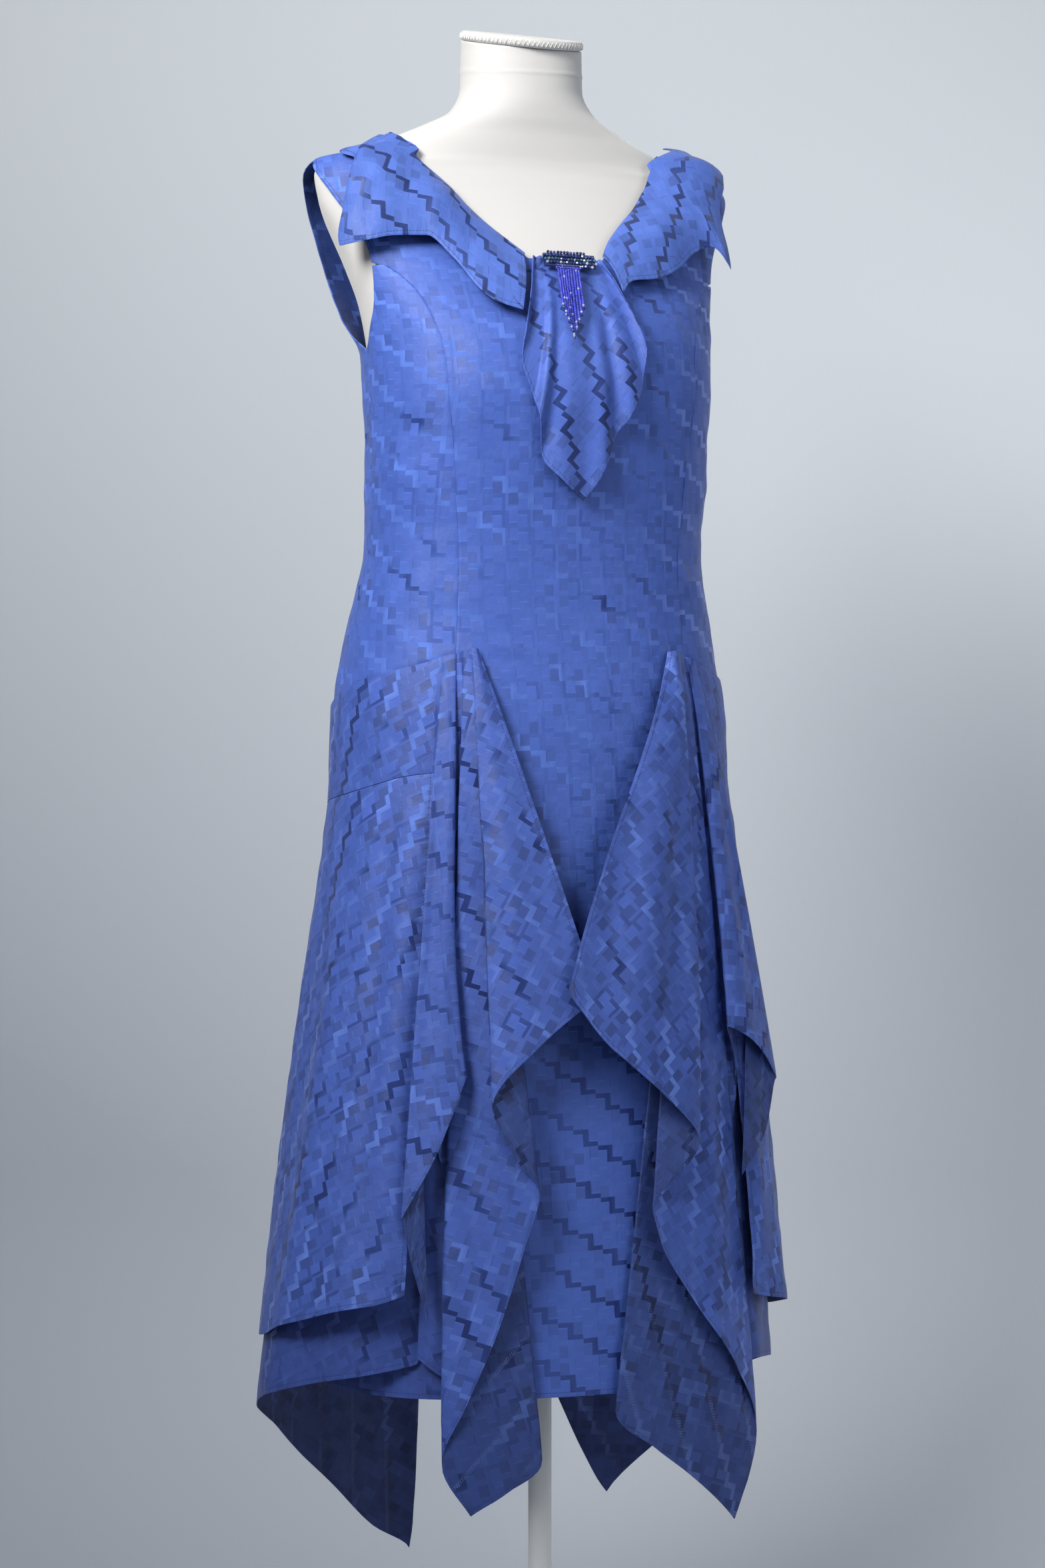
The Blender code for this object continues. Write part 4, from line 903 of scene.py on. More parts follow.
def makeBodiceBack(side, label):
    shoulderShare = bodiceBack["shoulderShare"]
    sideEdge = sideSeam + dress["seamGapAngle"]
    shoulderEdge = sideSeam + dress["shoulderGapAngle"]
    centreEdge = centreBack - dress["seamGapAngle"]
    u = sharesAcross(bodiceBack["columns"])
    onShoulder = np.clip(u / shoulderShare, 0, 1)
    past = np.clip((u - shoulderShare) / (1 - shoulderShare), 0, 1)
    topAngle = mix(shoulderEdge, centreEdge, past)
    topHeight = np.where(u < shoulderShare, mix(dress["shoulderTip"], dress["shoulderNeck"], onShoulder),
                         neckBack(topAngle))
    lowAngle = mix(sideEdge, centreEdge, u)
    rows = len(seamLevels(1.0, dress["underarm"]))
    lowHeight = mix(hipSeam(lowAngle) + dress["seamGap"] / 2, dress["underarm"], sharesDown(rows - 1)[:-1])
    lower = np.broadcast_to(lowAngle, lowHeight.shape)

    share = sharesDown(39) ** 0.85
    height = mix(dress["underarm"], topHeight, share)
    armHeight = mix(dress["underarm"], dress["shoulderTip"], share)
    armX = oval(np.maximum(armholeBack(armHeight), sideEdge), armHeight)[..., 0]
    sideX = mix(oval(sideEdge, dress["underarm"])[0], oval(shoulderEdge, dress["shoulderTip"])[0], share)
    x = mix(oval(lowAngle, dress["underarm"] + 0 * u)[..., 0], oval(topAngle, topHeight)[..., 0], share)
    x = x + (armX - sideX) * (1 - u)
    sine = np.minimum(x / halfWidth(height), 1.0) ** (roundness / 2)
    upper = centreBack - np.degrees(np.arcsin(np.clip(sine, -1, 1)))
    upper[-1] = topAngle[0]
    upper[0] = lowAngle[0]
    angle = np.concatenate([lower, upper])[::-1]
    height = np.concatenate([lowHeight, height])[::-1]
    fade = np.clip(1 - np.abs(angle - armholeBack(height)) / 28.0, 0, 1)
    inside = (height > dress["underarm"]) & (height < dress["shoulderTip"])
    gape = np.where(inside, armholeGape(height) * fade ** 1.5, 0.0)
    points = onSide(side, angle, height, gape)
    flat = turned(laidFlat(side * angle, height, False), bodiceBack["grain"] * side, bodiceBack["offset"])
    held = ramp(runLengths(points, 0), 0.0, 0.02)
    cut = creasedPatch(points, flat, ["high"], bodiceBack, bodiceBack["columns"] // 2, held)
    piece = addCloth(f"back_{label}", [cut], "panel", True)


underskirt = {"sideAcross": 16, "backAcross": 60, "topLevel": 1.03, "ripple": 0.3,
              "creases": [(0.3, 0.3, 0.28, 0.98, 18.0, 1.2), (0.62, 0.35, 0.65, 0.99, 20.0, -1.2)]}


def makeUnderskirt():
    rows = seamLevels(dress["kneeHem"], underskirt["topLevel"])[::-2]
    share = ((rows - rows[-1]) / (rows[0] - rows[-1]))[:, None]
    for label, side in sides.items():
        u = sharesAcross(underskirt["sideAcross"])
        top = hipSeam(mix(dress["princessHipAngle"], sideSeam, u)) - dress["seamGap"] / 2
        height = mix(dress["kneeHem"], top, share)
        angle = mix(princessAngle(height) + dress["seamGapAngle"], sideSeam - dress["seamGapAngle"], u)
        points = onSide(side, angle, height)
        flat = laidFlat(side * angle, height)
        cut = creasedPatch(points, flat, ["low"], underskirt, 4)
        piece = addCloth(f"underskirt_side_{label}", [cut], "under", True)
    u = 2 * sharesAcross(underskirt["backAcross"]) - 1
    away = mix(centreBack, sideSeam + dress["seamGapAngle"], np.abs(u))
    top = hipSeam(away) - dress["seamGap"] / 2
    height = mix(dress["kneeHem"], top, share)
    angle = np.where(u < 0, -away, away) + 0 * height
    points = onBody(angle, height)
    arc = arcFromFront(centreBack + 0 * angle, height) - arcFromFront(np.abs(angle), height)
    flat = np.stack([arc * np.sign(u), height], axis=-1)
    piece = addCloth("underskirt_back", [creasedPatch(points, flat, ["low"], underskirt, 4)], "under", True)


makeFrontCentre()
for label, side in sides.items():
    makeSideFront(side, label)
    makeBodiceBack(side, label)
makeUnderskirt()
print("fitted panels made")


# Front drapes: each row is one line of cloth from the hip seam to the hem, front edge first
cascadeRight = [
    # line, seamAngle, seamLift, sway, hemAngle, hemLift, hemHeight
    ("front_edge", 29.4, 3.5, 0.0, 1.9, 44.0, 0.737),
    ("front_hem", 30.2, 8.8, 0.0, 15.1, 45.0, 0.694),
    ("turn_1", 31.0, 9.0, 0.5, 25.7, 39.5, 0.642),
    ("under_1", 31.6, 8.3, 0.0, 19.5, 34.5, 0.592),
    ("turn_2", 32.2, 7.4, 0.0, 14.3, 30.0, 0.563),
    ("long_hem_a", 32.6, 6.7, 0.0, 17.8, 27.5, 0.516),
    ("long_hem_b", 33.0, 6.0, 0.0, 24.5, 26.0, 0.440),
    ("long_hem_c", 33.4, 5.4, 0.0, 32.0, 24.5, 0.378),
    ("turn_3", 33.8, 4.7, 1.0, 38.4, 21.5, 0.326),
    ("tip", 34.2, 4.0, 0.0, 31.0, 17.5, 0.280),
    ("under_3", 34.6, 3.3, 0.0, 21.5, 13.5, 0.300),
    ("turn_4", 35.1, 2.4, 0.0, 12.9, 9.0, 0.327),
    ("under_4", 35.7, 1.3, 0.0, 26.7, 5.5, 0.460),
    ("turn_5", 36.2, 1.0, 0.0, 41.0, 12.5, 0.619),
    ("turn_6", 36.9, 2.0, 3.5, 32.0, 28.0, 0.668),
    ("side_hem", 38.5, 2.3, 1.5, 39.0, 38.0, 0.601),
    ("turn_7", 40.6, 2.0, 0.0, 47.6, 43.0, 0.543),
]
cascadeLeft = [
    # line, seamAngle, seamLift, sway, hemAngle, hemLift, hemHeight
    ("front_edge", 27.4, 3.5, -2.0, -9.5, 58.0, 0.742),
    ("front_hem", 28.4, 7.5, -1.0, 1.2, 55.0, 0.684),
    ("front_hem_b", 29.3, 9.4, 0.0, 11.5, 50.0, 0.648),
    ("turn_1", 30.2, 9.0, 2.5, 22.1, 43.0, 0.603),
    ("under_1", 30.9, 8.3, 0.0, 15.3, 36.5, 0.570),
    ("turn_2", 31.6, 7.5, 0.0, 10.6, 33.0, 0.549),
    ("long_hem_a", 32.0, 6.9, 0.0, 13.0, 31.4, 0.512),
    ("long_hem_b", 32.4, 6.3, 0.0, 24.0, 30.8, 0.449),
    ("long_hem_c", 32.9, 5.7, 0.5, 36.5, 30.2, 0.396),
    ("turn_3", 33.4, 5.1, 1.0, 46.9, 28.0, 0.330),
    ("tip", 33.8, 4.4, 0.5, 37.0, 24.0, 0.255),
    ("under_3", 34.2, 3.8, 0.0, 22.5, 18.0, 0.302),
    ("under_3b", 34.6, 3.1, 0.0, 12.9, 13.5, 0.330),
    ("turn_4", 35.0, 2.4, 0.0, 3.5, 9.0, 0.366),
    ("under_4", 35.6, 1.3, 0.0, 24.0, 5.5, 0.470),
    ("turn_5", 36.2, 1.0, 0.0, 46.0, 17.5, 0.640),
    ("turn_6", 37.1, 2.0, 2.0, 37.0, 30.0, 0.705),
    ("side_hem", 38.5, 2.3, 1.0, 47.4, 38.0, 0.687),
    ("turn_7", 40.6, 2.0, 0.0, 59.5, 42.0, 0.652),
]
# Return of the last fold, which shows only below the side hem
returnRight = [
    # line, hemAngle, hemLift, hemHeight
    ("turn_7", 47.6, 43.0, 0.543),
    ("fold", 47.3, 41.0, 0.540),
    ("return", 45.6, 38.0, 0.505),
    ("return_end", 41.4, 32.5, 0.452),
]
returnLeft = [
    # line, hemAngle, hemLift, hemHeight
    ("turn_7", 59.5, 42.0, 0.652),
    ("fold", 59.1, 40.0, 0.648),
    ("return", 54.0, 35.5, 0.606),
    ("return_end", 41.0, 31.0, 0.567),
]
cascade = {
    "perLine": 7,
    "toCorner": 14,
    "belowCorner": 60,
    "returnStart": 0.12,
    "returnColumns": 15,
    "yokeAcross": 44,
    "yoke": {"ripple": 0.3, "creases": [(0.2, 0.5, 0.8, 0.35, 14.0, 0.9)]},
    "ripple": 0.35,
    "corners": ("tip",),
    "grain": {"right": 46.0, "left": 26.0},
    "yokeGrain": {"right": 76.0, "left": 60.0},
    "flat": {"right": (0.41, 0.79), "left": (0.48, 0.91)},
    "area": {"right": 0.168, "left": 0.246},
    # line, v, line, v, width, depth
    "creases": {
        "right": [
            (0.8, 0.10, 1.2, 0.96, 20.0, 3.0), (1.6, 0.12, 1.7, 0.90, 14.0, -2.6),
            (0.3, 0.40, 0.5, 0.97, 14.0, -1.8), (5.6, 0.45, 5.8, 0.98, 14.0, 2.6),
            (6.6, 0.40, 6.9, 0.98, 15.0, -2.8), (7.4, 0.50, 7.6, 0.97, 12.0, 2.2),
            (14.5, 0.15, 14.7, 0.92, 10.0, 2.0), (15.3, 0.20, 15.4, 0.96, 11.0, -2.0),
        ],
        "left": [
            (0.9, 0.10, 1.3, 0.96, 24.0, 3.8), (2.0, 0.14, 2.2, 0.93, 16.0, -3.2),
            (0.3, 0.35, 0.5, 0.98, 16.0, -2.4), (6.3, 0.50, 6.5, 0.98, 14.0, -2.4),
            (7.2, 0.40, 7.4, 0.98, 16.0, 3.0), (8.2, 0.42, 8.4, 0.96, 14.0, -2.8),
            (16.5, 0.18, 16.7, 0.96, 13.0, 2.8), (17.2, 0.25, 17.3, 0.96, 13.0, -2.6),
        ],
    },
}


def makeCascade(side, label):
    rows = cascadeRight if label == "right" else cascadeLeft
    returned = returnRight if label == "right" else returnLeft
    last = len(rows) - 1
    place = hungLines(rows, cascade["corners"], hipSeam, side)
    topHeight = float(hipSeam(rows[-1][1]))
    cornerShare = (topHeight - float(secondSeam(dress["tierCornerAngle"]))) / (topHeight - rows[-1][6])
    toCorner, below = cascade["toCorner"], cascade["belowCorner"]
    upperShares = np.linspace(0, cornerShare, toCorner + 1)[:-1]
    shares = np.concatenate([upperShares, np.linspace(cornerShare, 1, below + 1)])
    lines = np.linspace(0, last, last * cascade["perLine"] + 1)
    folds = onBody(*place(lines[None, :], shares[:, None]))
    grain = cascade["grain"][label]
    flat = flatLay(folds, grain, side)
    edgeHeld = ramp(runLengths(folds, 1)[:, -1:] - runLengths(folds, 1), 0.0, 0.015)
    edgeHeld = edgeHeld * ramp(runLengths(folds, 0), 0.0, 0.05)
    creases = [(a / last, b, c / last, d, wide, deep) for a, b, c, d, wide, deep in cascade["creases"][label]]
    patches = [creasedPatch(folds, flat, ["low", "first"], cascade, -2, edgeHeld, creases)]
    edge = folds[:, -1]

    yokeEnd = sideSeam - dress["seamGapAngle"]
    u = sharesAcross(cascade["yokeAcross"])
    v = sharesDown(toCorner)
    topAngle = mix(rows[-1][1], yokeEnd, u)
    lowAngle = mix(dress["tierCornerAngle"], yokeEnd, u)
    height = mix(hipSeam(topAngle) - dress["seamGap"], secondSeam(lowAngle) + dress["seamGap"], v)
    yoke = onSide(side, mix(topAngle, lowAngle, v), height, mix(*dress["yokeLift"], v))
    yoke[:, 0] = edge[:toCorner + 1]
    across = runLengths(yoke, 1)
    down = runLengths(yoke, 0)
    yokeFlat = turned(np.stack([across * side, -down], axis=-1), cascade["yokeGrain"][label])
    held = ramp(across, 0.0, 0.015)
    patches.append(creasedPatch(yoke, yokeFlat, [], cascade["yoke"], 5, held))

    hemAngle, hemLift, hemHeight = (alongLines(returned, k) for k in (1, 2, 3))
    first = toCorner + below // 2
    w = (len(returned) - 1) * sharesAcross(cascade["returnColumns"])
    angle, height, lift = (part[:, None] for part in place(last, shares[first:]))
    opened = mix(cascade["returnStart"], 1.0, sharesDown(len(shares) - first - 1))
    back = (hemAngle(0.0) - hemAngle(w)) * opened ** 1.2
    down = (hemHeight(0.0) - hemHeight(w)) * opened ** 1.2
    inward = (hemLift(0.0) - hemLift(w)) * opened ** 0.5
    fan = onBody(angle - side * back, height - down, lift - inward * mm)
    fan[:, 0] = edge[first:]
    fanFlat = turned(np.stack([runLengths(fan, 1) * side, -runLengths(fan, 0)], axis=-1), grain)
    patches.append(patch(fan, fanFlat, ["low"]))
    piece = addCloth(f"cascade_{label}", patches, "drape", False, reference=1)


backYoke = {
    "across": 50, "down": 14, "grain": 76.0, "ripple": 0.3,
    "creases": [(0.2, 0.4, 0.7, 0.6, 14.0, 0.9)],
}


def makeBackYoke(side, label):
    u = sharesAcross(backYoke["across"])
    v = sharesDown(backYoke["down"])
    angle = mix(sideSeam + dress["seamGapAngle"], centreBack - dress["seamGapAngle"], u) + 0 * v
    height = mix(hipSeam(angle) - dress["seamGap"], secondSeam(angle) + dress["seamGap"], v)
    points = onSide(side, angle, height, mix(*dress["yokeLift"], v))
    across = runLengths(points, 1) * side
    flat = turned(np.stack([across, -runLengths(points, 0)], axis=-1), backYoke["grain"])
    piece = addCloth(f"back_yoke_{label}", [creasedPatch(points, flat, [], backYoke, 10)], "drape", False)


for label, side in sides.items():
    makeCascade(side, label)
    makeBackYoke(side, label)
print("front drapes and yokes made")


# Tiers that hang from the second seam; the lower ones end in the two points at the back
tierRight = [
    # line, seamAngle, seamLift, sway, hemAngle, hemLift, hemHeight
    ("front_edge", 42.2, 4.2, 0.0, 47.2, 38.0, 0.475),
    ("crease_a", 46.0, 3.4, 0.0, 53.9, 48.0, 0.466),
    ("soft_a", 54.0, 2.8, 0.0, 62.0, 54.0, 0.460),
    ("crease_b", 64.0, 2.8, 0.0, 72.0, 52.0, 0.450),
    ("soft_b", 75.0, 2.8, 0.0, 83.0, 59.0, 0.438),
    ("side", 88.0, 2.8, 0.0, 96.0, 57.0, 0.422),
    ("crease_c", 100.0, 2.8, 0.0, 108.0, 56.0, 0.416),
    ("soft_c", 114.0, 2.8, 0.0, 120.0, 56.0, 0.412),
    ("crease_d", 128.0, 2.8, 0.0, 132.0, 42.0, 0.414),
    ("soft_d", 141.0, 2.8, 0.0, 144.0, 46.0, 0.416),
    ("crease_e", 154.0, 2.8, 0.0, 156.0, 36.0, 0.420),
    ("soft_e", 167.0, 2.8, 0.0, 168.0, 40.0, 0.422),
    ("centre_back", 179.9, 2.8, 0.0, 179.9, 36.0, 0.424),
]
tierLeft = [
    # line, seamAngle, seamLift, sway, hemAngle, hemLift, hemHeight
    ("front_edge", 42.2, 3.6, 5.0, 43.0, 35.0, 0.458),
    ("crease_a", 46.0, 3.2, 2.5, 49.0, 38.0, 0.453),
    ("soft_a", 54.0, 2.8, 0.0, 58.0, 45.0, 0.447),
    ("crease_b", 64.0, 2.8, 0.0, 67.0, 39.0, 0.442),
    ("soft_b", 75.0, 2.8, 0.0, 79.0, 44.0, 0.434),
    ("side", 88.0, 2.8, 0.0, 92.0, 40.0, 0.424),
    ("crease_c", 100.0, 2.8, 0.0, 104.0, 46.0, 0.418),
    ("soft_c", 114.0, 2.8, 0.0, 117.0, 46.0, 0.414),
    ("crease_d", 128.0, 2.8, 0.0, 130.0, 49.0, 0.414),
    ("soft_d", 141.0, 2.8, 0.0, 143.0, 38.0, 0.416),
    ("crease_e", 154.0, 2.8, 0.0, 155.0, 43.0, 0.420),
    ("soft_e", 167.0, 2.8, 0.0, 168.0, 34.0, 0.422),
    ("centre_back", 179.9, 2.8, 0.0, 179.9, 36.0, 0.424),
]
underTierRight = [
    # line, seamAngle, seamLift, sway, hemAngle, hemLift, hemHeight
    ("inner_edge", 41.4, 0.9, 0.0, 31.5, 7.0, 0.392),
    ("strip_hem", 42.2, 1.0, 0.0, 39.0, 10.5, 0.402),
    ("strip_turn", 43.0, 1.0, 0.0, 45.6, 12.0, 0.417),
    ("strip_back", 43.8, 0.9, 0.0, 45.9, 7.5, 0.418),
    ("hollow", 44.8, 0.9, 0.0, 46.6, 3.5, 0.412),
    ("front", 50.0, 0.9, 0.0, 57.0, 15.0, 0.403),
    ("soft_a", 60.0, 0.9, 0.0, 67.0, 27.0, 0.396),
    ("crease_a", 72.0, 0.9, 0.0, 78.0, 32.0, 0.388),
    ("soft_b", 84.0, 0.9, 0.0, 90.0, 53.0, 0.374),
    ("side", 98.0, 0.9, 0.0, 104.0, 58.0, 0.353),
    ("crease_b", 112.0, 0.9, 0.0, 118.0, 46.0, 0.322),
    ("soft_c", 126.0, 0.9, 0.0, 132.0, 42.0, 0.284),
    ("crease_c", 139.0, 0.9, 0.0, 144.0, 31.0, 0.243),
    ("soft_d", 152.0, 0.9, 0.0, 155.0, 30.0, 0.205),
    ("tip", 163.0, 0.9, 0.0, 165.0, 24.0, 0.179),
    ("back_edge", 165.0, 0.9, 0.0, 166.2, 22.0, 0.232),
    ("back_edge_top", 167.5, 0.9, 0.0, 167.0, 20.0, 0.340),
]
underTierLeft = [
    # line, seamAngle, seamLift, sway, hemAngle, hemLift, hemHeight
    ("front", 41.4, 0.9, 0.0, 41.0, 16.0, 0.398),
    ("soft_a", 48.0, 0.9, 0.0, 50.0, 26.0, 0.396),
    ("crease_a", 58.0, 0.9, 0.0, 61.0, 22.0, 0.392),
    ("soft_b", 70.0, 0.9, 0.0, 73.0, 25.0, 0.386),
    ("side", 84.0, 0.9, 0.0, 88.0, 23.0, 0.374),
    ("crease_b", 98.0, 0.9, 0.0, 102.0, 29.0, 0.352),
    ("soft_c", 112.0, 0.9, 0.0, 115.0, 28.0, 0.318),
    ("crease_c", 126.0, 0.9, 0.0, 129.0, 31.0, 0.276),
    ("tip", 141.0, 0.9, 0.0, 144.5, 26.0, 0.222),
    ("back_edge", 152.0, 0.9, 0.0, 151.0, 23.0, 0.262),
    ("back_edge_top", 163.0, 0.9, 0.0, 158.5, 20.0, 0.322),
]
tier = {
    "perLine": 7,
    "rows": 84,
    "ripple": 0.45,
    "grain": 76.0,
    "flat": {"right": (0.53, 0.53), "left": (0.53, 0.53)},
    "area": {"right": 0.23, "left": 0.227},
    "creases": [
        (0.02, 0.12, 0.0, 0.86, 15.0, -4.2), (0.11, 0.10, 0.07, 0.99, 17.0, 3.6),
        (0.19, 0.10, 0.14, 0.99, 14.0, -4.4), (0.27, 0.08, 0.30, 0.85, 22.0, 3.4),
        (0.38, 0.20, 0.37, 0.99, 22.0, -3.6), (0.48, 0.15, 0.50, 0.97, 18.0, 3.2),
        (0.60, 0.25, 0.58, 0.99, 20.0, -3.0), (0.71, 0.10, 0.73, 0.88, 19.0, 3.0),
        (0.83, 0.22, 0.84, 0.99, 20.0, -2.8), (0.93, 0.15, 0.92, 0.93, 16.0, 2.2),
    ],
}
underTier = {
    "perLine": 6,
    "rows": 70,
    "ripple": 0.4,
    "grain": 76.0,
    "corners": ("tip",),
    "flat": {"right": (0.52, 0.74), "left": (0.41, 0.69)},
    "area": {"right": 0.256, "left": 0.218},
    "creases": [
        (0.40, 0.30, 0.42, 0.98, 14.0, 1.6), (0.52, 0.20, 0.50, 0.95, 16.0, -1.8),
        (0.63, 0.35, 0.65, 0.98, 15.0, 1.8), (0.74, 0.25, 0.73, 0.97, 14.0, -1.6),
        (0.84, 0.40, 0.86, 0.96, 12.0, 1.5),
    ],
}


def makeTier(label, prefix, rows, look, kind):
    side = sides[label]
    name = f"{prefix}_{label}"
    place = hungLines(rows, look.get("corners", ()), secondSeam, side)
    last = len(rows) - 1
    lines = np.linspace(0, last, last * look["perLine"] + 1)
    points = onBody(*place(lines[None, :], sharesDown(look["rows"])))
    flat = flatLay(points, look["grain"], side)
    held = ramp(runLengths(points, 0), 0.0, 0.03)
    cut = creasedPatch(points, flat, ["low", "first", "last"], look, len(lines) // 2, held)
    piece = addCloth(name, [cut], kind, False)


for label, outerRows, underRows in (("right", tierRight, underTierRight), ("left", tierLeft, underTierLeft)):
    makeTier(label, "tier", outerRows, tier, "drape")
    makeTier(label, "under_tier", underRows, underTier, "under")
print("tiers made")


# Collar flaps: each row is one line across the collar, shoulder end first
collarRight = [
    # line, neckAngle, neckHeight, neckLift, outerAngle, outerHeight, outerLift, swell
    ("shoulder", 68.0, 1.5345, 1.4, 66.0, 1.510, 5.0, 0.8),
    ("notch", 56.0, 1.529, 1.5, 55.5, 1.500, 8.0, 2.5),
    ("edge", 47.0, 1.522, 1.6, 63.0, 1.460, 17.0, 5.0),
    ("corner", 38.8, 1.516, 1.6, 71.2, 1.422, 26.0, 7.0),
    ("flap", 33.5, 1.506, 1.6, 60.0, 1.420, 24.0, 10.0),
    ("dip", 29.0, 1.493, 1.6, 49.4, 1.423, 17.0, 12.0),
    ("roll", 25.3, 1.482, 1.6, 39.3, 1.423, 14.0, 12.0),
    ("long_a", 21.5, 1.462, 1.6, 33.9, 1.402, 12.0, 9.0),
    ("long_b", 18.0, 1.445, 1.6, 30.2, 1.375, 13.0, 6.0),
    ("long_c", 13.5, 1.428, 1.6, 24.6, 1.358, 14.0, 5.0),
    ("centre", 10.2, 1.416, 1.6, 17.5, 1.352, 12.0, 5.0),
]
collarLeft = [
    # line, neckAngle, neckHeight, neckLift, outerAngle, outerHeight, outerLift, swell
    ("shoulder", 88.0, 1.537, 9.0, 84.0, 1.521, 9.0, 6.0),
    ("turned_corner", 52.0, 1.528, 6.0, 60.0, 1.503, 17.0, 7.0),
    ("edge", 35.0, 1.517, 3.0, 51.8, 1.466, 23.0, 8.0),
    ("corner", 30.0, 1.508, 1.6, 56.8, 1.409, 30.0, 8.0),
    ("flap", 26.0, 1.490, 1.6, 48.7, 1.430, 22.0, 11.0),
    ("dip", 21.9, 1.470, 1.6, 42.3, 1.423, 17.0, 12.0),
    ("roll", 18.2, 1.456, 1.6, 35.3, 1.405, 13.0, 10.0),
    ("long_a", 15.0, 1.443, 1.6, 25.2, 1.391, 12.0, 7.0),
    ("long_b", 12.4, 1.431, 1.6, 16.3, 1.386, 12.0, 5.0),
    ("centre", 10.2, 1.417, 1.6, 12.0, 1.374, 12.0, 4.0),
]
collar = {
    "perLine": 8,
    "across": 36,
    "ripple": 0.35,
    "grain": {"right": -40.0, "left": -34.0},
    "flat": {"right": (0.22, 0.15), "left": (0.20, 0.18)},
    "area": {"right": 0.0185, "left": 0.0175},
    "creases": {
        "right": [(0.30, 0.10, 0.34, 0.90, 8.0, 2.0), (0.42, 0.05, 0.48, 0.70, 9.0, -2.2),
                  (0.56, 0.10, 0.62, 0.92, 10.0, 2.2), (0.72, 0.15, 0.78, 0.85, 9.0, -1.6)],
        "left": [(0.30, 0.10, 0.36, 0.90, 8.0, 2.4), (0.44, 0.05, 0.50, 0.75, 9.0, -2.4),
                 (0.60, 0.10, 0.66, 0.92, 9.0, 2.2), (0.78, 0.15, 0.84, 0.85, 8.0, -1.5)],
    },
}


def makeCollar(side, label):
    rows = collarRight if label == "right" else collarLeft
    last = len(rows) - 1
    neckAngle, neckHeight, neckLift = (alongLines(rows, k) for k in (1, 2, 3))
    outerHeight, outerLift = (alongLines(rows, k, ("corner",)) for k in (5, 6))
    outerAngle, swell = (alongLines(rows, k) for k in (4, 7))
    u = last * sharesAcross(last * collar["perLine"])
    v = sharesDown(collar["across"])
    angle = mix(neckAngle(u), outerAngle(u), v)
    height = mix(neckHeight(u), outerHeight(u), v)
    lift = mix(neckLift(u), outerLift(u), v) + swell(u) * np.sin(np.pi * v ** 0.8)
    points = onSide(side, angle, height, lift * mm)
    flat = flatLay(points, collar["grain"][label], -side)
    held = ramp(runLengths(points, 0), 0.0, 0.012)
    edges = ["low", "first", "last"]
    cut = creasedPatch(points, flat, edges, collar, points.shape[1] // 2, held, collar["creases"][label])
    piece = addCloth(f"collar_{label}", [cut], "collar", False)


# Jabot: each row is one fold line from the gathered top to the edge, wearer's right first
jabotLines = [
    # line, topAngle, edgeAngle, edgeHeight, edgeLift
    ("right_edge", -8.6, -17.5, 1.340, 15.0),
    ("fold_a", -7.6, -19.5, 1.310, 9.0),
    ("groove_a", -6.6, -16.3, 1.279, 6.0),
    ("ridge_a", -5.4, -14.6, 1.262, 14.0),
    ("groove_b", -4.0, -12.8, 1.226, 7.0),
    ("ridge_b", -2.4, -7.0, 1.206, 14.0),
    ("tip", -0.4, -0.8, 1.188, 11.0),
    ("ridge_c", 1.6, 3.6, 1.213, 15.0),
    ("groove_c", 3.4, 7.8, 1.247, 7.0),
    ("ridge_d", 5.0, 11.5, 1.268, 15.0),
    ("fold_b", 6.4, 16.2, 1.298, 8.0),
    ("left_fold", 7.6, 17.0, 1.322, 13.0),
    ("left_edge", 8.6, 12.5, 1.352, 17.0),
]
jabot = {"top": 1.411, "topLift": 4.0, "topWave": 1.2, "perLine": 8, "rows": 60, "ripple": 0.3, "grain": 18.0,
         "creases": [(0.12, 0.10, 0.10, 0.95, 4.0, -0.8), (0.55, 0.05, 0.57, 0.80, 4.0, 0.8)]}


def makeJabot():
    last = len(jabotLines) - 1
    topAngle, edgeAngle = (alongLines(jabotLines, k) for k in (1, 2))
    edgeHeight = alongLines(jabotLines, 3, ("tip",))
    edgeLift = alongLines(jabotLines, 4)
    u = last * sharesAcross(last * jabot["perLine"])
    v = sharesDown(jabot["rows"])
    angle = mix(topAngle(u), edgeAngle(u), v)
    height = mix(jabot["top"], edgeHeight(u), v)
    topLift = jabot["topLift"] + jabot["topWave"] * np.cos(np.pi * u)
    points = onBody(angle, height, mix(topLift, edgeLift(u), v ** 0.7) * mm)
    flat = flatLay(points, jabot["grain"])
    held = ramp(runLengths(points, 0), 0.0, 0.012)
    cut = creasedPatch(points, flat, ["low", "first", "last"], jabot, points.shape[1] // 2, held)
    piece = addCloth("jabot", [cut], "jabot", False)


for label, side in sides.items():
    makeCollar(side, label)
makeJabot()
print("collar and jabot made")


# Ornament: faceted beads in slanted columns on a plaque, and nine strings of round beads under it
brooch = {
    "height": 1.401, "angle": -0.6, "lift": 13.0, "tilt": 26.0,
    "columns": 16, "rows": 5, "width": 51.5, "tall": 14.5, "slant": 0.42, "bead": 1.62,
    "halfPlate": 25.2, "backing": (0.0505, 0.0026, 0.0135),
}
fringe = {
    "count": 9, "spacing": 2.5, "short": 0.040, "long": 0.064, "top": 1.3905,
    "topLift": 17.0, "endLift": 19.0, "angle": -2.1, "swing": -2.6,
    "bead": 1.22, "pitch": 1.95, "last": 1.55, "strip": (0.0235, 0.0028, 0.004),
}
random.seed(11)


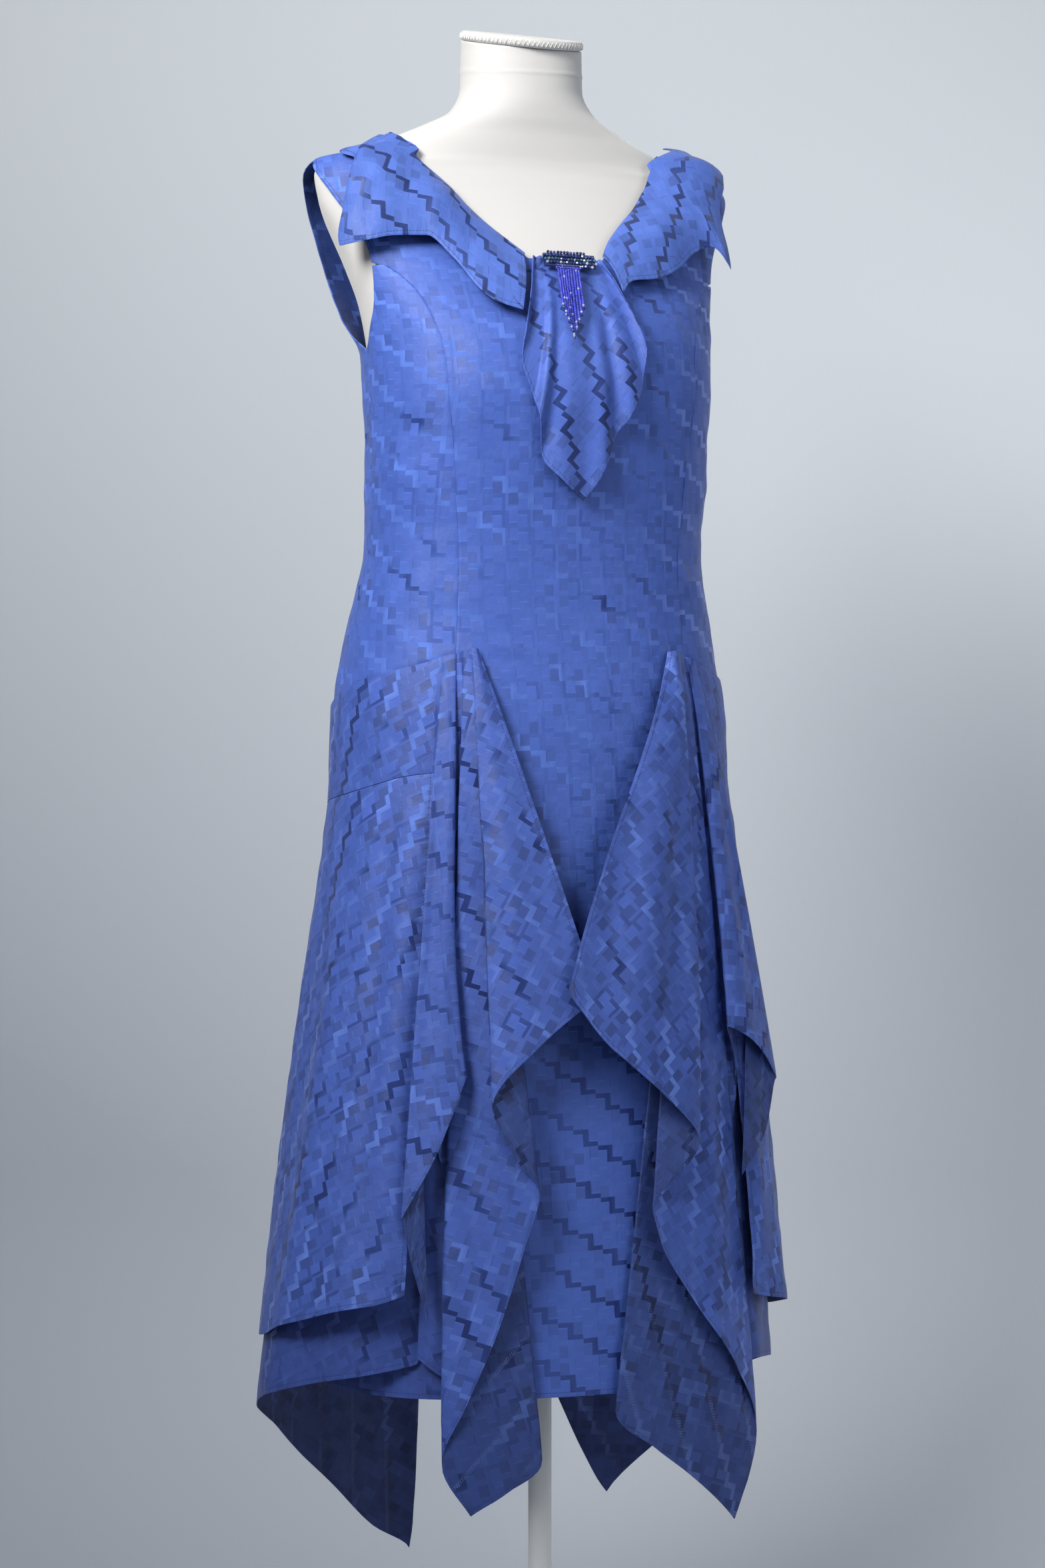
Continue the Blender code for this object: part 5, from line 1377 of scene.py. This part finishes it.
def makeBeads(name, colour, spread, roughness):
    material, tree, shader = newMaterial(name, roughness, specular=0.8)
    mark = tree.nodes.new("ShaderNodeAttribute")
    mark.attribute_name = "tint"
    base = blend(times(mark.outputs["Fac"], spread), opaque(colour), opaque(colour, 2.6, 0.03))
    mottle = noise(objectPlace(tree), 900.0, 1.0)
    feed(shader.inputs["Base Color"], blend(times(mottle, 0.3), base, (0.004, 0.006, 0.03, 1.0)))
    feed(shader.inputs["Normal"], bump(mottle, 0.15, 0.1 * mm))
    shader.inputs["Coat Weight"].default_value = 0.6
    return material


beadMaterials = [
    makeBeads("dark blue glass", (0.010, 0.020, 0.115), 0.8, 0.16),
    makeBeads("lined blue glass", (0.018, 0.075, 0.105), 0.8, 0.14),
    makeBeads("clear glass", (0.34, 0.40, 0.56), 0.4, 0.08),
    makeBeads("royal blue glass", (0.012, 0.020, 0.330), 0.9, 0.14),
]


def addBead(bm, tint, centre, radius, kind, facets, squash=(1.0, 1.0, 1.0)):
    turn = Matrix.Rotation(random.uniform(0, 6.28), 4, "Z")
    turn = turn @ Matrix.Rotation(random.uniform(-0.3, 0.3), 4, "X")
    size = Matrix.Diagonal((radius * squash[0], radius * squash[1], radius * squash[2], 1.0))
    matrix = Matrix.Translation(centre) @ size @ turn
    before = len(bm.faces)
    if facets:
        bmesh.ops.create_icosphere(bm, subdivisions=1, radius=1.0, matrix=matrix)
    else:
        bmesh.ops.create_uvsphere(bm, u_segments=10, v_segments=7, radius=1.0, matrix=matrix)
    bm.faces.ensure_lookup_table()
    shade = random.random()
    for face in bm.faces[before:]:
        face.material_index = kind
        face.smooth = not facets
        face[tint] = shade


def finishBeads(name, bm, node):
    mesh = bpy.data.meshes.new(name)
    bm.to_mesh(mesh)
    bm.free()
    for material in beadMaterials:
        mesh.materials.append(material)
    addPiece(name, mesh, node)


def makeBrooch():
    bm = bmesh.new()
    tint = bm.faces.layers.float.new("tint")
    centre = Vector(onBody(brooch["angle"], brooch["height"], brooch["lift"] * mm))
    lean = Matrix.Rotation(math.radians(-brooch["tilt"]), 4, "X")
    columns, rows = brooch["columns"], brooch["rows"]
    for i in range(columns):
        for j in range(rows):
            x = (i / (columns - 1) - 0.5) * brooch["width"]
            z = (0.5 - j / (rows - 1)) * brooch["tall"]
            edge = abs(x) / (brooch["width"] / 2)
            if abs(z) > brooch["tall"] / 2 * (1.02 - 0.35 * max(0.0, edge - 0.72) / 0.28):
                continue
            x = max(-brooch["halfPlate"], min(brooch["halfPlate"], x * 0.94 - z * brooch["slant"]))
            kind = 2 if random.random() < 0.05 else 1 if j == 2 and random.random() < 0.8 else 0
            y = -1.6 + random.uniform(-0.5, 0.4)
            place = centre + lean @ (Vector((x, y, z + random.uniform(-0.25, 0.25))) * mm)
            radius = brooch["bead"] * mm * random.uniform(0.94, 1.06)
            addBead(bm, tint, place, radius, kind, True, (1.0, 0.85, 1.0))
    backing = lean.to_4x4()
    backing.translation = centre
    before = len(bm.faces)
    size = Matrix.Diagonal((*brooch["backing"], 1.0))
    bmesh.ops.create_cube(bm, size=1.0, matrix=backing @ Matrix.Translation((0.0, 0.0008, 0.0)) @ size)
    bm.faces.ensure_lookup_table()
    for face in bm.faces[before:]:
        face[tint] = 0.1
    finishBeads("beaded_plaque", bm, "brooch_plaque")


def makeFringe():
    bm = bmesh.new()
    tint = bm.faces.layers.float.new("tint")
    strip = Vector(onBody(fringe["angle"], fringe["top"], fringe["topLift"] * mm))
    size = Matrix.Diagonal((*fringe["strip"], 1.0))
    bmesh.ops.create_cube(bm, size=1.0, matrix=Matrix.Translation(strip) @ size)
    bm.faces.ensure_lookup_table()
    for face in bm.faces:
        face[tint] = 0.1
        face.material_index = 3
    for i in range(2 * fringe["count"]):
        aside = (i / (2 * fringe["count"] - 1) - 0.5) * fringe["strip"][0]
        addBead(bm, tint, strip + Vector((aside, -1.5 * mm, 0.9 * mm)), 1.0 * mm, 0, True)
        addBead(bm, tint, strip + Vector((aside, -1.5 * mm, -0.9 * mm)), 1.0 * mm, 3, False)
    middle = (fringe["count"] - 1) / 2
    for k in range(fringe["count"]):
        share = 1 - abs(k - middle) / middle
        aside = (k - middle) * fringe["spacing"] * mm
        root = strip + Vector((aside, 0.0, 0.0))
        drop = mix(fringe["short"], fringe["long"], share)
        swing = fringe["angle"] + fringe["swing"] * drop / fringe["long"]
        end = Vector(onBody(swing, fringe["top"] - drop, fringe["endLift"] * mm)) + Vector((aside, 0.0, 0.0))
        count = int((end - root).length / (fringe["pitch"] * mm)) - 1
        for i in range(count):
            place = root.lerp(end, (i + 0.7) / (count + 1.2))
            place.x += 0.12 * mm * math.sin(i * 0.9 + k * 2.1)
            atEnd = i == count - 2
            kind = 2 if atEnd or random.random() < 0.035 else 3
            addBead(bm, tint, place, fringe["bead"] * mm, kind, False, (1.0, 1.0, 0.88))
        addBead(bm, tint, root.lerp(end, 1.0 - 0.8 * mm / drop), fringe["last"] * mm, 0, True)
    finishBeads("bead_strings", bm, "bead_fringe")


makeBrooch()
makeFringe()
print("ornament made")


# Dress form: padded torso and neck under a matte cover, and the cap with its zigzag stitched rim
form = {
    "inset": 7.0, "foot": 0.790, "footRound": 0.030, "shoulderFall": 18.0,
    "shoulderFallRange": (1.450, 1.565),
    "closerFrom": 1.480,              # height above which the rings lie closer
    "neckFoot": 1.572, "neckTop": 1.632, "around": 144,
    "capRadius": 0.0585, "capTilt": 15.0, "capThick": 0.009, "capGap": 0.4, "capAround": 128, "zigzags": 84,
}


def makeCover(name, colour, ribs=False):
    material, tree, shader = newMaterial(name, 0.78, sheen=0.25, specular=0.25)
    place = objectPlace(tree)
    cloudy = noise(place, 7.0, 3.0)
    fine = stretchedNoise(place, (1500.0, 1500.0, 900.0), 2.0, 0.6)
    base = blend(cloudy, opaque(colour), opaque(colour, 0.93))
    feed(shader.inputs["Base Color"], blend(times(fine, 0.16), base, (0.52, 0.52, 0.52, 1.0)))
    height = times(fine, 0.35)
    if ribs:
        wave = newNode("TexWave", (scaled(place, (260.0, 40.0, 40.0)),), bands_direction="X")
        height = plus(height, times(wave.outputs["Fac"], 0.25))
    height = plus(height, times(stretchedNoise(place, (18.0, 18.0, 60.0)), 1.2))
    feed(shader.inputs["Normal"], bump(height, 0.5, 0.5 * mm))
    return material


formCover = makeCover("form cover", (0.585, 0.572, 0.556))
capCover = makeCover("cap cover", (0.62, 0.608, 0.590), True)


def shellMesh(name, points, faces, material):
    mesh = bpy.data.meshes.new(name)
    mesh.from_pydata([tuple(p) for p in points], [], faces)
    mesh.materials.append(material)
    mesh.update()
    return mesh


def ringFaces(rings, around):              # squares between each ring of points and the next
    faces = []
    for j in range(rings - 1):
        for i in range(around):
            k = (i + 1) % around
            faces.append((j * around + i, j * around + k, (j + 1) * around + k, (j + 1) * around + i))
    return faces


def makeForm():
    angle = np.linspace(0, 360, form["around"] + 1)[None, :-1]
    low, high = form["shoulderFallRange"]
    trunk = np.linspace(form["foot"], form["closerFrom"], 110)[:-1]
    levels = np.concatenate([trunk, np.linspace(form["closerFrom"], form["neckTop"], 70)])
    height = levels[:, None] + 0 * angle
    rise = np.sin(np.pi * np.clip((height - low) / (high - low), 0, 1))
    behind = np.maximum(0.0, -np.cos(np.radians(angle))) * np.abs(np.sin(np.radians(angle)))
    inset = form["inset"] + form["shoulderFall"] * rise * behind
    # one soft band round the neck and a few pulled folds under the rim
    neck = np.clip((height - form["neckFoot"]) / (form["neckTop"] - form["neckFoot"]), 0, 1)
    softBand = np.exp(-((height - 1.604 - 0.0015 * np.sin(np.radians(angle * 2))) / 0.0016) ** 2)
    pulls = np.exp(-((height - 1.626) / 0.006) ** 2) * np.sin(np.radians(angle * 37)) ** 2
    inset = inset - 0.7 * softBand + 0.5 * pulls * (neck > 0)
    points = onBody(angle, height, -inset * mm)
    slope = math.tan(math.radians(form["capTilt"]))
    lean = np.maximum(0.0, (height - form["neckFoot"]) / (form["neckTop"] - form["neckFoot"])) * slope
    points[..., 2] += lean * (points[..., 1] - sideLine(height))
    foot = float(sideLine(form["foot"]))
    rings = []
    for shrink, drop in ((0.0, 1.0), (0.45, 1.0), (0.80, 1.0), (0.90, 0.82), (0.95, 0.6), (0.985, 0.32)):
        ring = points[0].copy()
        ring[:, 0] *= shrink
        ring[:, 1] = foot + (ring[:, 1] - foot) * shrink
        ring[:, 2] = form["foot"] - drop * form["footRound"]
        rings.append(ring)
    top = points[-1]
    middle = top.mean(axis=0)
    closing = [mix(top, middle, 0.5), mix(top, middle, 0.999)]
    rows = np.concatenate([np.array(rings), points, np.array(closing)])
    mesh = shellMesh("form_body", rows.reshape(-1, 3), ringFaces(len(rows), form["around"]), formCover)
    mesh.shade_smooth()
    addPiece("form_body", mesh, "form_torso")


def makeCap():
    tilt = math.radians(form["capTilt"])
    lean = Vector((0.0, -math.sin(tilt), math.cos(tilt)))
    base = Vector((0.0, float(sideLine(form["neckTop"])), form["neckTop"])) + lean * form["capGap"] * mm
    turn = Matrix.Rotation(tilt, 4, "X")
    thick, radius = form["capThick"], form["capRadius"]
    profile = [(0.0, 0.0), (radius - 0.003, 0.0)]
    for k in range(1, 9):
        part = math.pi * k / 8
        profile.append((radius - 0.0032 + 0.0032 * math.sin(part), thick / 2 - thick / 2 * math.cos(part)))
    profile += [(radius - 0.008, thick - 0.0003), (radius - 0.010, thick - 0.0006), (0.0, thick - 0.0004)]
    around = form["capAround"]
    points = []
    for reach, rise in profile:
        for i in range(around):
            a = 2 * math.pi * i / around
            pucker = 0.00025 * math.sin(41 * a) * (1 if reach > radius - 0.004 else 0)
            out = reach + pucker
            points.append(base + turn @ Vector((out * math.cos(a), out * math.sin(a), rise)))
    mesh = shellMesh("neck_cap", points, ringFaces(len(profile), around), capCover)
    mesh.shade_smooth()
    addPiece("neck_cap", mesh, "form_neck_cap")

    thread, tree, shader = newMaterial("cover thread", 0.6, sheen=0.3)
    twist = stretchedNoise(objectPlace(tree), (3000.0, 3000.0, 3000.0), 1.0)
    feed(shader.inputs["Base Color"], blend(twist, (0.70, 0.69, 0.67, 1.0), (0.84, 0.83, 0.81, 1.0)))
    feed(shader.inputs["Normal"], bump(twist, 0.3, 0.2 * mm))
    stitches = []
    for i in range(form["zigzags"] * 2):
        a = 2 * math.pi * i / (form["zigzags"] * 2)
        rise = thick * (0.22 if i % 2 else 0.72)
        out = radius + 0.0002
        stitches.append(base + turn @ Vector((out * math.cos(a), out * math.sin(a), rise)))
    corners = []
    faces = []
    for here, there in zip(stitches, stitches[1:] + stitches[:1]):
        along = (there - here).normalized()
        outward = Vector((here.x, here.y - base.y, 0.0)).normalized()
        wide = along.cross(outward).normalized() * 0.35 * mm
        proud = outward * 0.30 * mm
        start = len(corners)
        for point in (here, there):
            corners += [point - wide, point + proud, point + wide]
        faces += [(start, start + 1, start + 4, start + 3), (start + 1, start + 2, start + 5, start + 4)]
    addPiece("cap_stitches", shellMesh("cap_stitches", corners, faces, thread))


def makePaint(name, colour, flecks):
    material, tree, shader = newMaterial(name, 0.42, specular=0.5)
    place = objectPlace(tree)
    wear = noise(place, 18.0, 4.0, 0.6)
    feed(shader.inputs["Base Color"], blend(times(wear, 0.35), opaque(colour), opaque(colour, 0.88)))
    feed(shader.inputs["Roughness"], line(wear, 0.16, 0.34))
    feed(shader.inputs["Normal"], bump(noise(place, 1400.0, 2.0), flecks, 0.1 * mm))
    return material


paints = {
    "stand_pole": makePaint("painted tube", (0.78, 0.78, 0.77), 0.12),
    "stand_base": makePaint("painted plate", (0.75, 0.75, 0.74), 0.2),
}
for node, paint in paints.items():
    solid = bpy.data.objects[node]
    solid.data.materials.clear()
    solid.data.materials.append(paint)

makeForm()
makeCap()
print("form and stand made")


# Stage, light and camera
studio = {
    # painted light on the backdrop: lighter at the top and to the right, darker low down
    "backdropLitTop": (0.535, 0.565, 0.595),
    "backdropShadedLow": (0.44, 0.475, 0.525),
    "backdropLitRight": (0.79, 0.82, 0.86),
    "wallBehind": 0.95,
    "wallTop": 4.5,
    "halfSpan": 5.0,
    "floorAhead": 3.2,
    "curve": 0.45,
    "keyPower": 22.5,
    "fillPower": 20.0,
    "topPower": 8.0,
    "world": (0.50, 0.53, 0.57),
    "worldStrength": 0.40,
    "cameraAzimuth": -22.0,
    "cameraDistance": 3.0,
    "cameraHeight": 0.93,
    "cameraSide": -0.01625,
    "lens": 73.44,
}
azimuth = math.radians(studio["cameraAzimuth"])
towards = Vector((math.sin(azimuth), -math.cos(azimuth), 0.0))
rightward = Vector((math.cos(azimuth), math.sin(azimuth), 0.0))


def makeBackdrop():
    material, tree, shader = newMaterial("painted backdrop", 0.9, specular=0.2)
    place = objectPlace(tree)
    low, top, far = (opaque(studio[name]) for name in ("backdropShadedLow", "backdropLitTop", "backdropLitRight"))
    mottle = noise(place, 1.6, 3.0)
    x, y, z = apart(place)
    # painted light: the backdrop is painted darker low down, lighter towards the top, and lighter to the
    # right low down
    aside = line(x, rightward.x, times(y, rightward.y))
    up = maths("DIVIDE", z, 1.9, clamp=True)
    paintedSideLight = times(minus(0.85, up), times(aside, 0.9))
    base = blend(maths("POWER", plus(up, paintedSideLight, clamp=True), 0.55), low, top)
    base = blend(times(minus(1.0, up), times(aside, 1.9), clamp=True), base, far)
    feed(shader.inputs["Base Color"], blend(times(mottle, 0.18), base, low))
    feed(shader.inputs["Normal"], bump(stretchedNoise(place, (220.0, 220.0, 60.0)), 0.25, 0.6 * mm))
    side = tree.nodes.new("ShaderNodeNewGeometry")      # clear when seen from behind
    feed(shader.inputs["Alpha"], minus(1.0, side.outputs["Backfacing"]))
    wall, curve = -studio["wallBehind"], studio["curve"]
    profile = [(studio["floorAhead"], 0.0), (wall + curve, 0.0)]
    for k in range(1, 13):
        turn = math.pi / 2 * k / 12
        profile.append((wall + curve * (1 - math.sin(turn)), curve * (1 - math.cos(turn))))
    profile.append((wall, studio["wallTop"]))
    points = []
    for near, rise in profile:
        for sideways in (-studio["halfSpan"], studio["halfSpan"]):
            points.append(towards * near + rightward * sideways + Vector((0.0, 0.0, rise - 0.5 * mm)))
    faces = [(2 * k, 2 * k + 1, 2 * k + 3, 2 * k + 2) for k in range(len(profile) - 1)]
    mesh = shellMesh("backdrop", points, faces, material)
    mesh.shade_smooth()
    backdrop = bpy.data.objects.new("backdrop", mesh)
    bpy.context.scene.collection.objects.link(backdrop)


def addLight(name, place, aim, size, power, colour, spread=180.0):
    light = bpy.data.lights.new(name, "AREA")
    light.shape = "RECTANGLE"
    light.size, light.size_y = size
    light.energy = power
    light.color = colour
    light.spread = math.radians(spread)
    lamp = bpy.data.objects.new(name, light)
    bpy.context.scene.collection.objects.link(lamp)
    lamp.location = place
    lamp.rotation_euler = (Vector(aim) - Vector(place)).to_track_quat("-Z", "Y").to_euler()


makeBackdrop()
key = towards * 1.85 - rightward * 1.30 + Vector((0.0, 0.0, 2.6))
fill = towards * 2.2 + rightward * 2.0 + Vector((0.0, 0.0, 2.0))
overhead = towards * 0.3 + Vector((0.0, 0.0, 3.2))
addLight("key softbox", key, (0.0, 0.0, 1.65), (1.0, 1.2), studio["keyPower"], (1.0, 0.99, 0.97), 80.0)
addLight("fill softbox", fill, (0.0, 0.0, 1.2), (1.6, 2.0), studio["fillPower"], (0.94, 0.97, 1.0))
addLight("top softbox", overhead, (0.0, 0.0, 0.9), (2.0, 1.4), studio["topPower"], (0.97, 0.99, 1.0))

world = bpy.data.worlds.new("studio")
world.use_nodes = True
world.node_tree.nodes["Background"].inputs[0].default_value = (*studio["world"], 1.0)
world.node_tree.nodes["Background"].inputs[1].default_value = studio["worldStrength"]
bpy.context.scene.world = world
bpy.context.scene.view_settings.view_transform = "Standard"

camera = bpy.data.objects.new("camera", bpy.data.cameras.new("camera"))
bpy.context.scene.collection.objects.link(camera)
camera.data.lens = studio["lens"]
camera.data.sensor_width = 36.0
camera.location = towards * studio["cameraDistance"] + rightward * studio["cameraSide"]
camera.location.z = studio["cameraHeight"]
camera.rotation_euler = (-towards).to_track_quat("-Z", "Y").to_euler()
bpy.context.scene.camera = camera
print("stage, lights and camera made")
